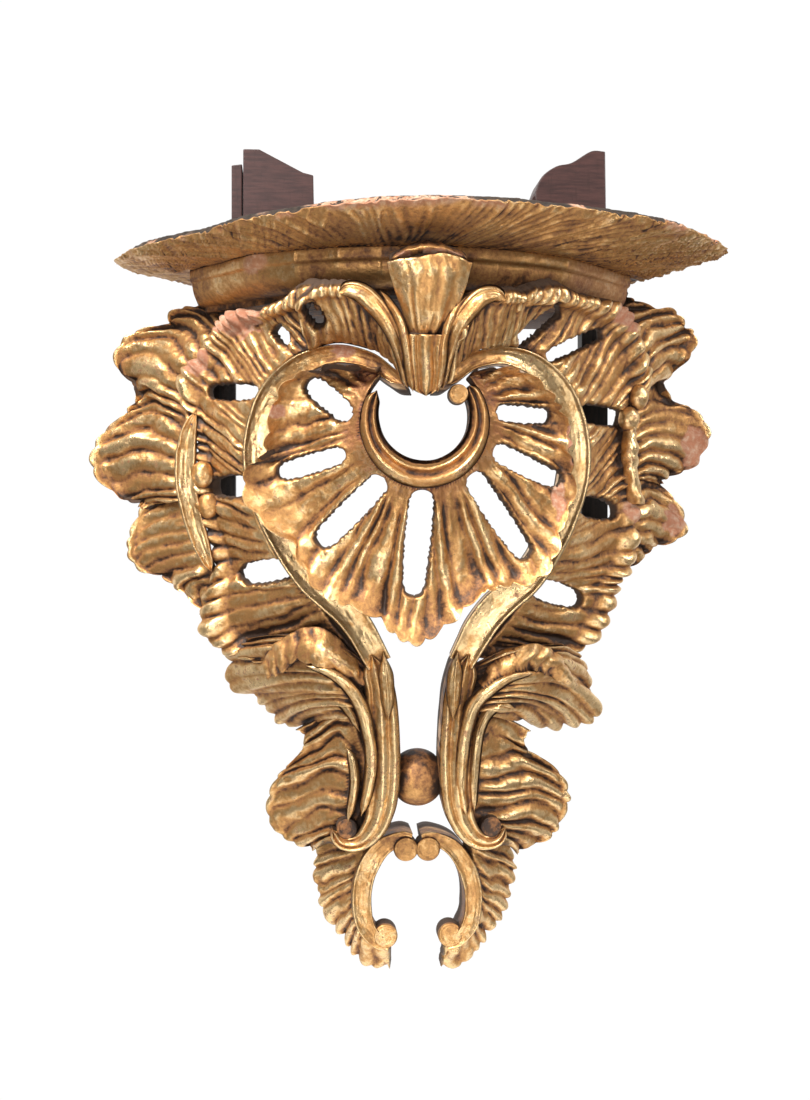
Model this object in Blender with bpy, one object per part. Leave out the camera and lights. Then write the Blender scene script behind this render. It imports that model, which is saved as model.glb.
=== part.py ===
"""A carved and gilded rococo wall bracket: a fluted shelf over a pierced shell, scrolls and leaves.

Design points are written in millimetres as (x, z, out): x to the right, z up from the middle of the
frieze, and out away from the wall. The wall is the plane Y = 0 and the bracket faces -Y.
"""
import math

import bmesh
import bpy
import numpy as np
from mathutils import Vector

MM = 0.001
GAP = 0.3                  # clearance between pieces that touch
LEFT = -1
RIGHT = 1

# Shelf
SHELF_TOP = 35.0           # top surface above the origin
SHELF_EDGE = 6.0           # thickness of the board at its rim
SHELF_FLUTES = 54
FLUTE_DEPTH = 2.2
SHELF_FLUTE_ROWS = {0.0: 0.0, 0.5: 1.0, 1.0: 0.6}   # depth of the flutes at shares of the way to the rim
SHELF_PLAN = ((-222, 0), (-226, 42), (-205, 88), (-186, 112), (-160, 136), (-140, 161), (-104, 196),
              (-40, 236), (2, 246), (50, 243), (106, 222), (165, 191), (200, 154), (224, 118),
              (237, 92), (227, 62), (206, 28), (190, 0))
RIM_DROP_LEFT = 5.0        # the rim hangs a little lower at its left end
RIM_DROP_REACH = 226.0     # half width over which that drop builds up
SHELF_FLARE = 1.7          # power of the rise from the frieze to the rim
SHELF_BOARD_SHARE = 0.985  # the flat top ends a little inside the rim

# Frieze
FRIEZE_TOP = 12.0
FRIEZE_BOTTOM = -18.0
FRIEZE_HALF_WIDTH = 166.0
FRIEZE_CORNER = (118.0, 146.0)   # half width and distance out of the canted corner
FRIEZE_END_DEPTH = 78.0          # depth of the short return beside the wall
FRIEZE_BOW = 39.0                # how far the middle of the front stands before its corners
FILLET = 8.0
FILLET_STEP = 1.5                # height of the small step under the fillet
FILLET_SETBACK = 4.0             # and its depth
COVE_DEPTH = 24.0
COVE_STEPS = 4
CORNER_SETBACK = 0.8             # share of the cove's depth by which the canted corner moves inwards
RETURN_SETBACK = 0.4             # and by which the short return's front edge moves back
FRIEZE_BOW_STEPS = (0.0, 0.25, 0.5, 0.75)

# Uprights and blocks
UPRIGHT_WIDTH = 21.0
UPRIGHT_DEPTH = 20.0
UPRIGHT_INSET = {LEFT: 31.5, RIGHT: 26.5}   # of the inner face from the frieze's end
UPRIGHT_BOTTOM = {LEFT: -160.0, RIGHT: -190.0}
BLOCK_DEPTH = 36.0
BLOCK_FRONT = 62.0         # distance of the blocks' front faces from the wall
HOUSING_DEPTH = 1.0        # of the shallow housings in the shelf that the blocks stand in
BLOCK_OUTLINE = {
    LEFT: ((-127, 0), (-127, 73), (-115, 73), (-82, 56), (-74, 54), (-73, 0)),
    RIGHT: ((96, 0), (96, 45), (101, 56), (112, 64), (124, 67), (139, 76), (150, 76), (151, 0)),
}

# The body of the carving leans a little to the right below the shell
LEAN_FROM = -130.0
LEAN = 0.018

# Relief of each carved panel: ribs, their height, how far each pushes out the edge, the panel's
# thickness, and the shares of its width where its net has rows
PANELS = {
    "shell": {"ribs": 36, "depth": 3.0, "lobe": 3.0, "thick": 10.0, "share": (0, 0.18, 0.76, 1),
              "curl": 5.0, "hollow": 9.0, "flutes": True, "slot_ribs": 2, "slot_pinch": 0.3},
    "band": {"ribs": 26, "depth": 3.0, "lobe": 3.0, "thick": 11.0, "share": (0, 0.15, 0.68, 0.86, 1),
             "roll": 5.0, "slot_pinch": -0.35},
    "upper_wing": {"ribs": 13, "depth": 4.0, "lobe": 5.0, "thick": 9.0, "share": (0, 0.3, 0.7, 1),
                   "curl": 7.0},
    "side_wing": {"ribs": 6, "depth": 4.0, "lobe": 5.0, "thick": 9.0, "share": (0, 0.4, 1), "curl": 6.0},
    "lower_leaf": {"ribs": 10, "depth": 4.0, "lobe": 4.0, "thick": 9.0, "share": (0, 0.25, 0.55, 0.8, 1)},
    "lower_wing": {"ribs": 12, "depth": 4.0, "lobe": 4.0, "thick": 10.0, "share": (0, 0.3, 0.7, 1),
                   "curl": 4.0},
    "fringe": {"ribs": 8, "depth": 4.0, "lobe": 5.0, "thick": 12.0, "share": (0, 0.5, 1)},
    "palmette": {"ribs": 7, "depth": 2.5, "lobe": 0.0, "thick": 18.0, "share": (0, 0.3, 0.6, 0.8, 1)},
    "upper_leaf": {"ribs": 9, "depth": 3.5, "lobe": 2.0, "thick": 10.0, "share": (0, 0.33, 0.67, 1)},
}
CURL_FROM = 0.6            # share of a panel's width where its edge starts to curl
ROLL_FROM = 0.7            # share where the roll along its edge starts

# Sections of the scrolls: share of the width, height in front of the band, share of the depth behind it
RING_SECTION = ((-0.5, -2, 0), (-0.5, 0, 1), (0.5, 0, 1), (0.5, 0, 0), (0.3, 3, 0), (0.05, 0, 0),
                (-0.2, 3, 0))
HEART_SECTION = ((-0.5, 2, 0), (-0.5, 0, 1), (0.5, 0, 1), (0.5, 0, 0), (0.1, -3, 0), (-0.32, -2, 0))
STRIP_SECTION = ((-0.5, 1, 0), (-0.5, 0, 1), (0.5, 0, 1), (0.5, 1, 0), (0.0, -1, 0))
SHEATH_SECTION = ((-0.5, -3, 0), (-0.5, 0, 1), (0.5, 0, 1), (0.5, -2, 0), (0.28, 2, 0), (0.12, -1, 0),
                  (-0.08, 3, 0), (-0.3, 0, 0))
FOOT_SECTION = ((-0.5, 2, 0), (-0.5, 0, 1), (0.5, 0, 1), (0.5, 0, 0), (0.0, -2, 0), (-0.3, 0, 0))

# Share of the triangles kept where the carved pieces run into each other
JOINED_DETAIL = 0.66

# Shell and ring
RING_CENTRE = (1.0, -106.0)
RING_RADIUS = 38.0
RING_WIDTH = 19.0
RING_DEPTH = 24.0
RING_ARC = (150.0, 397.0)
RING_SETBACK = 4.0         # how far the band's face lies behind the crest of its ridges
RING_TIP = 0.55            # width of the crescent's tips as a share of its middle
SHELL_INNER_RADIUS = 43.0
SHELL_SETBACK = 12.0       # how far the shell starts behind the ring
SHELL_RIM = ((143, 50, 170), (153, 84, 162), (165, 101, 155), (178, 106, 150), (189, 112, 146),
             (198, 131, 143), (210, 133, 142), (222, 129, 142), (236, 137, 144), (252, 140, 147),
             (268, 156, 149), (281, 138, 148), (294, 131, 147), (308, 139, 145), (322, 129, 142),
             (338, 121, 142), (350, 106, 146), (360, 106, 150), (370, 92, 156), (384, 78, 162))
SHELL_DOME = 43.0          # how far the ring stands before the shell's edge
RING_OUT = min(out for angle, radius, out in SHELL_RIM) + SHELL_DOME
SHELL_SLOTS = ((-72, -100), (-84, -141), (-52, -173), (-4, -194), (53, -175), (75, -141), (74, -104))

# Heart-shaped pair of scrolls: outer edge and the width of the band
HEART_EDGE = ((8, -82, 180, 10), (18, -72, 173, 10), (33, -60, 168, 11), (60, -53, 161, 13),
              (90, -61, 150, 16), (114, -84, 138, 19), (125, -120, 132, 21), (122, -155, 130, 22),
              (108, -190, 130, 22), (88, -222, 130, 22), (62, -251, 127, 22), (40, -283, 119, 18))
HEART_DEPTH = 22.0

# Pierced bands beside the heart and their knuckled rims
BAND_INNER = ((36, -57, 158), (60, -53, 155), (83, -57, 147), (101, -69, 138), (114, -84, 130),
              (121, -104, 125), (124, -130, 122), (121, -160, 120), (110, -187, 120), (96, -210, 120),
              (76, -234, 119), (58, -256, 117), (43, -276, 114))
BAND_OUTER = {
    LEFT: ((-57, -20, 187), (-80, -22, 185), (-108, -32, 132), (-139, -34, 92), (-161, -53, 76),
           (-170, -80, 72), (-171, -112, 70), (-167, -150, 68), (-157, -180, 68), (-148, -210, 70),
           (-142, -238, 73), (-118, -260, 78), (-92, -276, 86)),
    RIGHT: ((62, -20, 187), (86, -22, 185), (120, -31, 132), (154, -32, 92), (172, -44, 76),
            (178, -70, 72), (168, -104, 70), (170, -144, 68), (175, -172, 68), (156, -202, 70),
            (146, -232, 74), (124, -256, 78), (98, -272, 86)),
}
BAND_SLOTS = {
    LEFT: ((-75, -33), (-104, -43), (-136, -84), (-137, -153), (-110, -211)),
    RIGHT: ((86, -38), (117, -46), (142, -98), (139, -163), (110, -226)),
}

# Wings, each as an inner rail and an outer edge
UPPER_WING = {
    LEFT: (((-132, -30, 82), (-152, -46, 76), (-163, -64, 70), (-167, -86, 64), (-168, -106, 61),
            (-168, -126, 59), (-168, -144, 58), (-167, -158, 58)),
           ((-160, -12, 62), (-198, -27, 34), (-221, -46, 25), (-214, -74, 24), (-229, -98, 18),
            (-239, -124, 16), (-232, -149, 20), (-204, -163, 25))),
    RIGHT: (((142, -26, 82), (164, -40, 76), (173, -58, 70), (174, -76, 64), (168, -92, 61),
             (164, -108, 59), (166, -126, 58), (174, -142, 58)),
            ((172, -6, 62), (218, -13, 34), (218, -40, 26), (208, -62, 24), (226, -82, 20),
             (240, -108, 17), (228, -130, 20), (200, -142, 30))),
}
SIDE_WING = {
    LEFT: (((-166, -164, 58), (-161, -182, 60), (-155, -200, 62), (-149, -216, 64), (-143, -232, 64)),
           ((-206, -166, 26), (-213, -190, 24), (-212, -208, 25), (-190, -224, 32), (-158, -244, 46))),
    RIGHT: (((172, -150, 60), (174, -164, 60), (170, -180, 60), (160, -196, 62), (150, -212, 64)),
            ((200, -152, 30), (216, -172, 23), (208, -190, 26), (184, -202, 34), (158, -216, 48))),
}
STRIP = {
    LEFT: ((-162, -100, 70, 6), (-167, -121, 68, 12), (-168, -146, 67, 13), (-165, -170, 67, 12),
           (-157, -194, 67, 9), (-149, -212, 70, 6)),
    RIGHT: ((176, -118, 68, 8), (182, -136, 66, 14), (182, -156, 66, 12), (178, -172, 67, 8)),
}
STRIP_DEPTH = 14.0

# Lower leaves, sheaths and wings
LOWER_LEAF = {
    LEFT: (((-35, -279, 112), (-31, -290, 110), (-30, -300, 108), (-29, -310, 106), (-29, -320, 103)),
           ((-58, -264, 122), (-62, -276, 120), (-60, -290, 116), (-54, -304, 110), (-46, -316, 104)),
           ((-96, -258, 104), (-106, -276, 94), (-96, -296, 86), (-80, -312, 80), (-64, -322, 78)),
           ((-126, -272, 70), (-137, -300, 46), (-120, -316, 44), (-98, -331, 44), (-84, -333, 50))),
    RIGHT: (((40, -280, 112), (36, -290, 110), (35, -300, 108), (35, -310, 106), (35, -320, 103)),
            ((66, -268, 122), (70, -280, 120), (68, -294, 116), (62, -308, 110), (54, -318, 104)),
            ((98, -266, 104), (112, -282, 94), (106, -302, 86), (90, -316, 80), (74, -322, 78)),
            ((122, -280, 76), (146, -308, 46), (138, -326, 44), (114, -335, 44), (94, -330, 50))),
}
SHEATH = ((38, -262, 118, 20), (30, -300, 112, 22), (27, -335, 106, 24), (27, -370, 98, 24),
          (32, -398, 90, 20), (44, -414, 84, 14), (58, -415, 82, 10), (65, -405, 82, 8))
SHEATH_DEPTH = 36.0
VOLUTE_EYE = (54.0, -404.0, 84.0)
VOLUTE_EYE_SIZE = (20.0, 20.0, 16.0)
LOWER_WING = {
    LEFT: (((-36, -307, 92), (-38, -330, 89), (-38, -352, 85), (-38, -374, 80), (-42, -394, 74),
            (-52, -412, 68)),
           ((-61, -310, 60), (-83, -346, 42), (-103, -372, 30), (-111, -397, 25), (-100, -419, 25),
            (-75, -428, 30))),
    RIGHT: (((44, -316, 92), (47, -334, 89), (48, -352, 85), (49, -372, 80), (53, -394, 74),
             (66, -414, 68)),
            ((80, -315, 60), (91, -348, 42), (120, -373, 30), (131, -396, 25), (119, -422, 25),
             (91, -432, 30))),
}
BALL_CENTRE = (4.0, -367.0, 74.0)
BALL_SIZE = (34.0, 43.0, 46.0)

# Bottom pair of scrolls and the fringe outside them
FOOT_SCROLL = ((4, -418, 56, 8), (12, -417, 56, 9), (27, -424, 56, 11), (38, -440, 55, 12),
               (43, -460, 54, 12), (41, -482, 52, 11), (32, -496, 50, 9), (22, -500, 49, 8))
FOOT_DEPTH = 48.0
FOOT_EYES = ((8.5, -425.0, 56.0), (25.0, -493.0, 49.0))
FOOT_EYE_RADIUS = 9.4
FOOT_EYE_PROUD = 1.5         # how far the small volutes stand before the band
FRINGE = (((46, -414, 54), (50, -446, 46), (51, -478, 40), (42, -500, 36), (24, -510, 34)),
          ((82, -424, 20), (79, -458, 15), (65, -490, 14), (48, -514, 14), (22, -525, 16)))

# Palmette, its stem and the pair of upper leaves
PALMETTE = (((-9, -50, 196), (1, -52, 199), (11, -50, 196)),
            ((-16, -32, 206), (2, -32, 211), (18, -32, 206)),
            ((-21, -9, 218), (2, -8, 225), (25, -9, 218)),
            ((-21, 2, 212), (2, 10, 212), (24, 0, 212)))
STEM = ((1, -40, 199), (2, -68, 191), (2, -91, 184))
STEM_STRANDS = (-8.5, 0.0, 8.5)
STEM_RADIUS = 5.0
UPPER_LEAF = (((9, -52, 192), (14, -36, 196), (24, -24, 200), (40, -19, 200), (56, -23, 194)),
              ((9, -66, 190), (19, -52, 192), (32, -42, 193), (48, -36, 192), (63, -32, 187)),
              ((8, -88, 180), (22, -72, 174), (38, -60, 168), (56, -51, 165), (72, -40, 168)))

MATERIALS = {
    "gold": ((0.72, 0.47, 0.19), 0.38, 0.85),
    "dark_wood": ((0.02, 0.016, 0.013), 0.7, 0.0),
    "mahogany": ((0.12, 0.045, 0.03), 0.45, 0.0),
}


def material(name):
    """A plain Principled material with the colour, roughness and metallic value of a finish."""
    colour, roughness, metallic = MATERIALS[name]
    finish = bpy.data.materials.get(name) or bpy.data.materials.new(name)
    finish.use_nodes = True
    shader = finish.node_tree.nodes["Principled BSDF"]
    shader.inputs["Base Color"].default_value = (*colour, 1.0)
    shader.inputs["Roughness"].default_value = roughness
    shader.inputs["Metallic"].default_value = metallic
    return finish


def to_metres(points):
    """Design points (x, z, out) in millimetres as Blender coordinates in metres."""
    points = np.asarray(points, dtype=float)
    return np.stack([points[..., 0], -points[..., 2], points[..., 1]], axis=-1) * MM


def along(points, place):
    """Points of a smooth curve at the given places, counted in knots from the first one."""
    knots = np.asarray(points, dtype=float)
    padded = np.vstack([2 * knots[0] - knots[1], knots, 2 * knots[-1] - knots[-2]])
    place = np.asarray(place, dtype=float)
    start = np.clip(np.floor(place).astype(int), 0, len(knots) - 2)
    s = (place - start)[:, None]
    a, b, c, d = (padded[start + k] for k in range(4))
    return 0.5 * (2 * b + (c - a) * s + (2 * a - 5 * b + 4 * c - d) * s ** 2
                  + (3 * b - a - 3 * c + d) * s ** 3)


def even_places(points, count):
    """Places that divide a smooth curve into steps of even length."""
    fine = np.linspace(0, len(points) - 1, 24 * len(points))
    line = along(points, fine)[:, :3]
    length = np.concatenate([[0], np.cumsum(np.linalg.norm(np.diff(line, axis=0), axis=1))])
    return np.interp(np.linspace(0, length[-1], count), length, fine)


def curve(points, count):
    """Even steps along a smooth curve; columns after the third, such as a width, follow along."""
    return along(points, even_places(points, count))


def across(lines, share):
    """A net of points: smooth curves from the first rail to the last one, at the given shares."""
    lines = np.asarray(lines)
    padded = np.concatenate([[2 * lines[0] - lines[1]], lines, [2 * lines[-1] - lines[-2]]])
    place = np.asarray(share) * (len(lines) - 1)
    start = np.clip(np.floor(place).astype(int), 0, len(lines) - 2)
    s = (place - start)[:, None, None]
    a, b, c, d = (padded[start + k] for k in range(4))
    net = 0.5 * (2 * b + (c - a) * s + (2 * a - 5 * b + 4 * c - d) * s ** 2
                 + (3 * b - a - 3 * c + d) * s ** 3)
    return net.transpose(1, 0, 2)


def unit(vectors):
    """Vectors of length one."""
    return vectors / np.maximum(np.linalg.norm(vectors, axis=-1, keepdims=True), 1e-9)


def lean(points):
    """The slow drift to the right of everything below the shell."""
    points = np.array(points, dtype=float)
    points[..., 0] += LEAN * np.maximum(0.0, LEAN_FROM - points[..., 1])
    return points


def mirrored(points, side):
    """Points drawn for the right half, on the given side of the leaning centre line."""
    points = np.array(points, dtype=float)
    points[..., 0] *= side
    return lean(points)


def solid(name, vertices, faces):
    """An object from metre vertices and faces, with its faces turned outwards."""
    mesh = bpy.data.meshes.new(name)
    mesh.from_pydata([tuple(v) for v in vertices], [], [tuple(f) for f in faces])
    builder = bmesh.new()
    builder.from_mesh(mesh)
    loose = [vertex for vertex in builder.verts if not vertex.link_faces]
    bmesh.ops.delete(builder, geom=loose, context="VERTS")
    bmesh.ops.recalc_face_normals(builder, faces=builder.faces)
    bmesh.ops.triangulate(builder, faces=builder.faces)
    builder.to_mesh(mesh)
    builder.free()
    return bpy.data.objects.new(name, mesh)


def ribbed(name, rails, ribs, depth, lobe, thick, share, curl=0.0, hollow=0.0, roll=0.0, flutes=False,
           slots=(), slot_ribs=1, slot_pinch=0.0):
    """A closed carved panel whose ribs run from the first rail to the last one.

    The rails have as many points each, and matching points are joined by the ribs. depth is the
    height of the ribs, lobe how far each one pushes out the far edge, curl how far that edge turns
    forward, hollow how deep the panel is dished, and roll how high a roll along its far edge stands.
    Each slot is slot_ribs wide, at the ribs nearest to its point, between the second and third rows of
    the net, and slot_pinch draws its far end together.
    """
    places = even_places(rails[-1], 2 * ribs + 1)
    base = across([along(rail, places) for rail in rails], share)
    normal = unit(np.cross(np.gradient(base, axis=0), np.gradient(base, axis=1)))
    normal *= np.sign(normal[..., 2].mean())
    crest = np.abs(np.sin(np.pi * np.linspace(0, ribs, 2 * ribs + 1)))[:, None, None]
    if flutes:
        crest = 1 - crest
    far = np.asarray(share, dtype=float)[None, :, None]
    base[..., 2:] -= hollow * 4 * far * (1 - far)
    base[..., 2:] += curl * np.clip((far - CURL_FROM) / (1 - CURL_FROM), 0, 1) ** 2
    outward = unit(base[:, -1:] - base[:, :1])
    base = base + outward * lobe * (crest - 0.5) * (far == 1)
    turn = np.clip((far - ROLL_FROM) / (1 - ROLL_FROM), 0, 1)
    rise = depth * crest * np.minimum(1.0, 4 * far) + roll * np.sin(np.pi * turn)
    front = base + normal * rise
    back = (base - normal * thick)[::2]
    open_cells = set()
    for x, z in slots:
        middle = base[slot_ribs % 2::2, 1:3, :2].mean(axis=1)
        nearest = int(np.argmin(np.linalg.norm(middle - (x, z), axis=1)))
        first = nearest - slot_ribs // 2
        last = first + slot_ribs
        open_cells |= {(rib, 1) for rib in range(first, last)}
        for net, step in ((front, 2), (back, 1)):
            centre = (net[first * step, 2] + net[last * step, 2]) / 2
            for column in (first * step, last * step):
                net[column, 2] += (centre - net[column, 2]) * slot_pinch
    return rib_cells(name, front, back, open_cells)


def rib_cells(name, front, back, open_cells):
    """The closed body of a panel: two strips of front to one of back in each rib."""
    ribs = len(back) - 1
    rows = front.shape[1]
    behind = front.shape[0] * rows

    def face(column, row):
        return column * rows + row

    def rear(column, row):
        return behind + column * rows + row

    faces = []
    solid_cells = {(rib, row) for rib in range(ribs) for row in range(rows - 1)} - open_cells
    for rib, row in sorted(solid_cells):
        left, middle, right = 2 * rib, 2 * rib + 1, 2 * rib + 2
        for a, b in ((left, middle), (middle, right)):
            faces.append((face(a, row), face(b, row), face(b, row + 1), face(a, row + 1)))
        faces.append((rear(rib, row), rear(rib, row + 1), rear(rib + 1, row + 1), rear(rib + 1, row)))
        for column, back_column, neighbour in ((left, rib, rib - 1), (right, rib + 1, rib + 1)):
            if (neighbour, row) not in solid_cells:
                faces.append((face(column, row), face(column, row + 1),
                              rear(back_column, row + 1), rear(back_column, row)))
        for edge, neighbour in ((row, row - 1), (row + 1, row + 1)):
            if (rib, neighbour) not in solid_cells:
                faces.append((face(left, edge), face(middle, edge), rear(rib, edge)))
                faces.append((face(middle, edge), face(right, edge), rear(rib + 1, edge)))
                faces.append((face(middle, edge), rear(rib + 1, edge), rear(rib, edge)))
    vertices = np.concatenate([front.reshape(-1, 3), back.reshape(-1, 3)])
    return solid(name, to_metres(vertices), faces)


def loft(name, sections):
    """A closed body through rings of points, capped at both ends."""
    count, size = sections.shape[:2]
    faces = [tuple(range(size)), tuple((count - 1) * size + k for k in range(size))]
    for i in range(count - 1):
        for k in range(size):
            after = (k + 1) % size
            faces.append((i * size + k, i * size + after, (i + 1) * size + after, (i + 1) * size + k))
    return solid(name, to_metres(sections.reshape(-1, 3)), faces)


def swept(name, path, profile, count, depth):
    """A band along a path of (x, z, out, width) with a profile of (across, height, share of depth)."""
    line = curve(path, count)
    tangent = unit(np.gradient(line[:, :3], axis=0))
    face = np.array([0.0, 0.0, 1.0]) - tangent * tangent[:, 2:]
    face = unit(face)
    side = np.cross(tangent, face)
    profile = np.asarray(profile, dtype=float)
    aside = profile[None, :, 0, None] * line[:, None, 3:4] * side[:, None]
    ahead = (profile[None, :, 1, None] - profile[None, :, 2, None] * depth) * face[:, None]
    return loft(name, line[:, None, :3] + aside + ahead)


def strand(name, path, count, sides=6):
    """A round rod along a path of (x, z, out, radius)."""
    line = curve(path, count)
    tangent = unit(np.gradient(line[:, :3], axis=0))
    face = unit(np.array([0.0, 0.0, 1.0]) - tangent * tangent[:, 2:])
    side = np.cross(tangent, face)
    turn = np.linspace(0, 2 * np.pi, sides, endpoint=False)[None, :, None]
    ring = np.cos(turn) * side[:, None] + np.sin(turn) * face[:, None]
    return loft(name, line[:, None, :3] + ring * line[:, None, 3:4])


def ball(name, centre, size, segments=12, rings=8):
    """An ellipsoid with its centre and its three diameters given as (x, z, out)."""
    builder = bmesh.new()
    bmesh.ops.create_uvsphere(builder, u_segments=segments, v_segments=rings, radius=0.5)
    bmesh.ops.scale(builder, vec=(size[0] * MM, size[2] * MM, size[1] * MM), verts=builder.verts)
    bmesh.ops.translate(builder, vec=Vector(to_metres(centre)), verts=builder.verts)
    mesh = bpy.data.meshes.new(name)
    builder.to_mesh(mesh)
    builder.free()
    return bpy.data.objects.new(name, mesh)


def guide(item, cutters):
    """Keep an object as a construction guide that isn't a piece of the bracket."""
    cutters.objects.link(item)
    item.hide_render = True
    item.display_type = "WIRE"
    return item


def union(target, group):
    """Join the target with every object of a collection."""
    step = target.modifiers.new("union", "BOOLEAN")
    step.operation = "UNION"
    step.solver = "MANIFOLD"      # the exact solver leaves open edges where many ribs meet
    step.operand_type = "COLLECTION"
    step.collection = group


def facing(section, side):
    """A scroll's section, turned over for the left half."""
    return section if side == RIGHT else [(-width, height, depth) for width, height, depth in section]


def shelf():
    """The board with its flat top and its fluted, flaring underside."""
    count = SHELF_FLUTES * 2 + 1
    plan = curve([(x, out, 0.0) for x, out in SHELF_PLAN], count)[:, :2]
    foot = curve([(x, out, 0.0) for x, out in frieze_plan(0.0)], count)[:, :2]
    wave = np.abs(np.sin(np.pi * np.linspace(0, SHELF_FLUTES, count)))
    drop = RIM_DROP_LEFT * np.clip(-plan[:, 0] / RIM_DROP_REACH, 0, 1) ** 2
    rise = SHELF_TOP - SHELF_EDGE - FRIEZE_TOP
    rows = []
    for s in SHELF_FLUTE_ROWS:
        place = foot * (1 - s) + plan * s
        height = FRIEZE_TOP + GAP + rise * s ** SHELF_FLARE - drop * s ** 2
        height = height - FLUTE_DEPTH * wave * SHELF_FLUTE_ROWS[s]
        rows.append(np.column_stack([place[:, 0], height, place[:, 1]]))
    edge = rows[-1].copy()
    edge[:, 1] = SHELF_TOP - drop
    inner = plan * SHELF_BOARD_SHARE
    top = np.column_stack([inner[:, 0], np.full(count, SHELF_TOP), inner[:, 1]])
    top[0, 2] = top[-1, 2] = 0.0
    rows += [edge, top]
    net = np.stack(rows, axis=1)
    rows_count = net.shape[1]
    faces = []
    for i in range(count - 1):
        for j in range(rows_count - 1):
            faces.append((i * rows_count + j, (i + 1) * rows_count + j,
                          (i + 1) * rows_count + j + 1, i * rows_count + j + 1))
    faces.append([i * rows_count for i in range(count)])
    points = net.reshape(-1, 3).tolist()
    top_notches, back_notches = [], []
    for side in (LEFT, RIGHT):
        first = len(points)
        points += housing(side)
        # of each four: left at the wall, left inside, right inside, right at the wall
        upper = [first, first + 1, first + 2, first + 3]
        lower = [number + 4 for number in upper]
        top_notches += upper
        back_notches += [upper[0], lower[0], lower[3], upper[3]]
        faces.append(lower)
        for a, b in ((0, 1), (1, 2), (2, 3)):
            faces.append((upper[a], upper[b], lower[b], lower[a]))
    faces.append([i * rows_count + rows_count - 1 for i in range(count)] + top_notches[::-1])
    left_side = list(range(rows_count))
    right_side = [(count - 1) * rows_count + j for j in range(rows_count)]
    faces.append(left_side + back_notches + right_side[::-1])
    return solid("shelf", to_metres(points), faces)


def housing(side):
    """Corners of the shallow housing under a block: four on the shelf's top and four on its floor."""
    places = [x for x, rise in BLOCK_OUTLINE[side]]
    left, right = min(places) - GAP, max(places) + GAP
    front = BLOCK_FRONT + GAP
    return [(x, z, out) for z in (SHELF_TOP, SHELF_TOP - HOUSING_DEPTH)
            for x, out in ((left, 0.0), (left, front), (right, front), (right, 0.0))]


def frieze_plan(inset):
    """Plan of the frieze from the left of the wall round to the right, set back by an inset."""
    corner_x, corner_out = FRIEZE_CORNER
    cant_x = FRIEZE_HALF_WIDTH - inset
    bend = inset * CORNER_SETBACK
    half = [(corner_x * s, corner_out + FRIEZE_BOW * (1 - s * s) - inset) for s in FRIEZE_BOW_STEPS]
    half += [(corner_x - bend, corner_out - inset), (cant_x, FRIEZE_END_DEPTH - RETURN_SETBACK * inset),
             (cant_x, 0.0)]
    left = [(-x, out) for x, out in reversed(half)]
    return left + half[1:]


def frieze():
    """The moulded block under the shelf: a fillet over a cove."""
    cove_top = FRIEZE_TOP - FILLET - FILLET_STEP
    levels = [(FRIEZE_TOP, 0.0), (FRIEZE_TOP - FILLET, 0.0), (cove_top, FILLET_SETBACK)]
    drop = cove_top - FRIEZE_BOTTOM - FILLET_SETBACK
    for turn in np.linspace(0, math.pi / 2, COVE_STEPS + 1)[1:]:
        levels.append((cove_top - drop * math.sin(turn),
                       FILLET_SETBACK + (COVE_DEPTH - FILLET_SETBACK) * (1 - math.cos(turn))))
    levels.append((FRIEZE_BOTTOM, COVE_DEPTH))
    sections = np.array([[(x, z, out) for x, out in frieze_plan(inset)] for z, inset in levels])
    return loft("frieze", sections)


def upright(side):
    """A dark board that stands against the wall behind the carving."""
    middle = FRIEZE_HALF_WIDTH - UPRIGHT_INSET[side] + UPRIGHT_WIDTH / 2
    top = FRIEZE_BOTTOM - GAP
    size = (UPRIGHT_WIDTH, top - UPRIGHT_BOTTOM[side], UPRIGHT_DEPTH)
    centre = (side * middle, (top + UPRIGHT_BOTTOM[side]) / 2, UPRIGHT_DEPTH / 2)
    builder = bmesh.new()
    bmesh.ops.create_cube(builder, size=1.0)
    bmesh.ops.scale(builder, vec=(size[0] * MM, size[2] * MM, size[1] * MM), verts=builder.verts)
    bmesh.ops.translate(builder, vec=Vector(to_metres(centre)), verts=builder.verts)
    name = "left_upright" if side == LEFT else "right_upright"
    mesh = bpy.data.meshes.new(name)
    builder.to_mesh(mesh)
    builder.free()
    return bpy.data.objects.new(name, mesh)


def block(side):
    """A mahogany block with a sloping top that stands on the back of the shelf."""
    base = SHELF_TOP - HOUSING_DEPTH + GAP
    front = [(x, base + rise, BLOCK_FRONT) for x, rise in BLOCK_OUTLINE[side]]
    rear = [(x, z, out - BLOCK_DEPTH) for x, z, out in front]
    name = "left_block" if side == LEFT else "right_block"
    return loft(name, np.array([front, rear]))


def ring():
    """The crescent round the opening in the middle of the shell."""
    path = []
    start, end = RING_ARC
    for angle in np.linspace(start, end, 17):
        turn = math.radians(angle)
        swell = RING_TIP + (1 - RING_TIP) * math.sin(math.pi * (angle - start) / (end - start))
        path.append((RING_CENTRE[0] + RING_RADIUS * math.cos(turn),
                     RING_CENTRE[1] + RING_RADIUS * math.sin(turn), RING_OUT - RING_SETBACK,
                     RING_WIDTH * swell))
    return swept("ring", path, RING_SECTION, 26, RING_DEPTH)


def shell():
    """The fluted shell that fans out from the ring, open between its lobes."""
    inner, rim = [], []
    for angle, radius, out in SHELL_RIM:
        turn = math.radians(angle)
        way = (math.cos(turn), math.sin(turn))
        inner.append((RING_CENTRE[0] + SHELL_INNER_RADIUS * way[0],
                      RING_CENTRE[1] + SHELL_INNER_RADIUS * way[1], RING_OUT - SHELL_SETBACK))
        rim.append((RING_CENTRE[0] + radius * way[0], RING_CENTRE[1] + radius * way[1], out))
    return ribbed("shell", (inner, rim), slots=SHELL_SLOTS, **PANELS["shell"])


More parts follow.
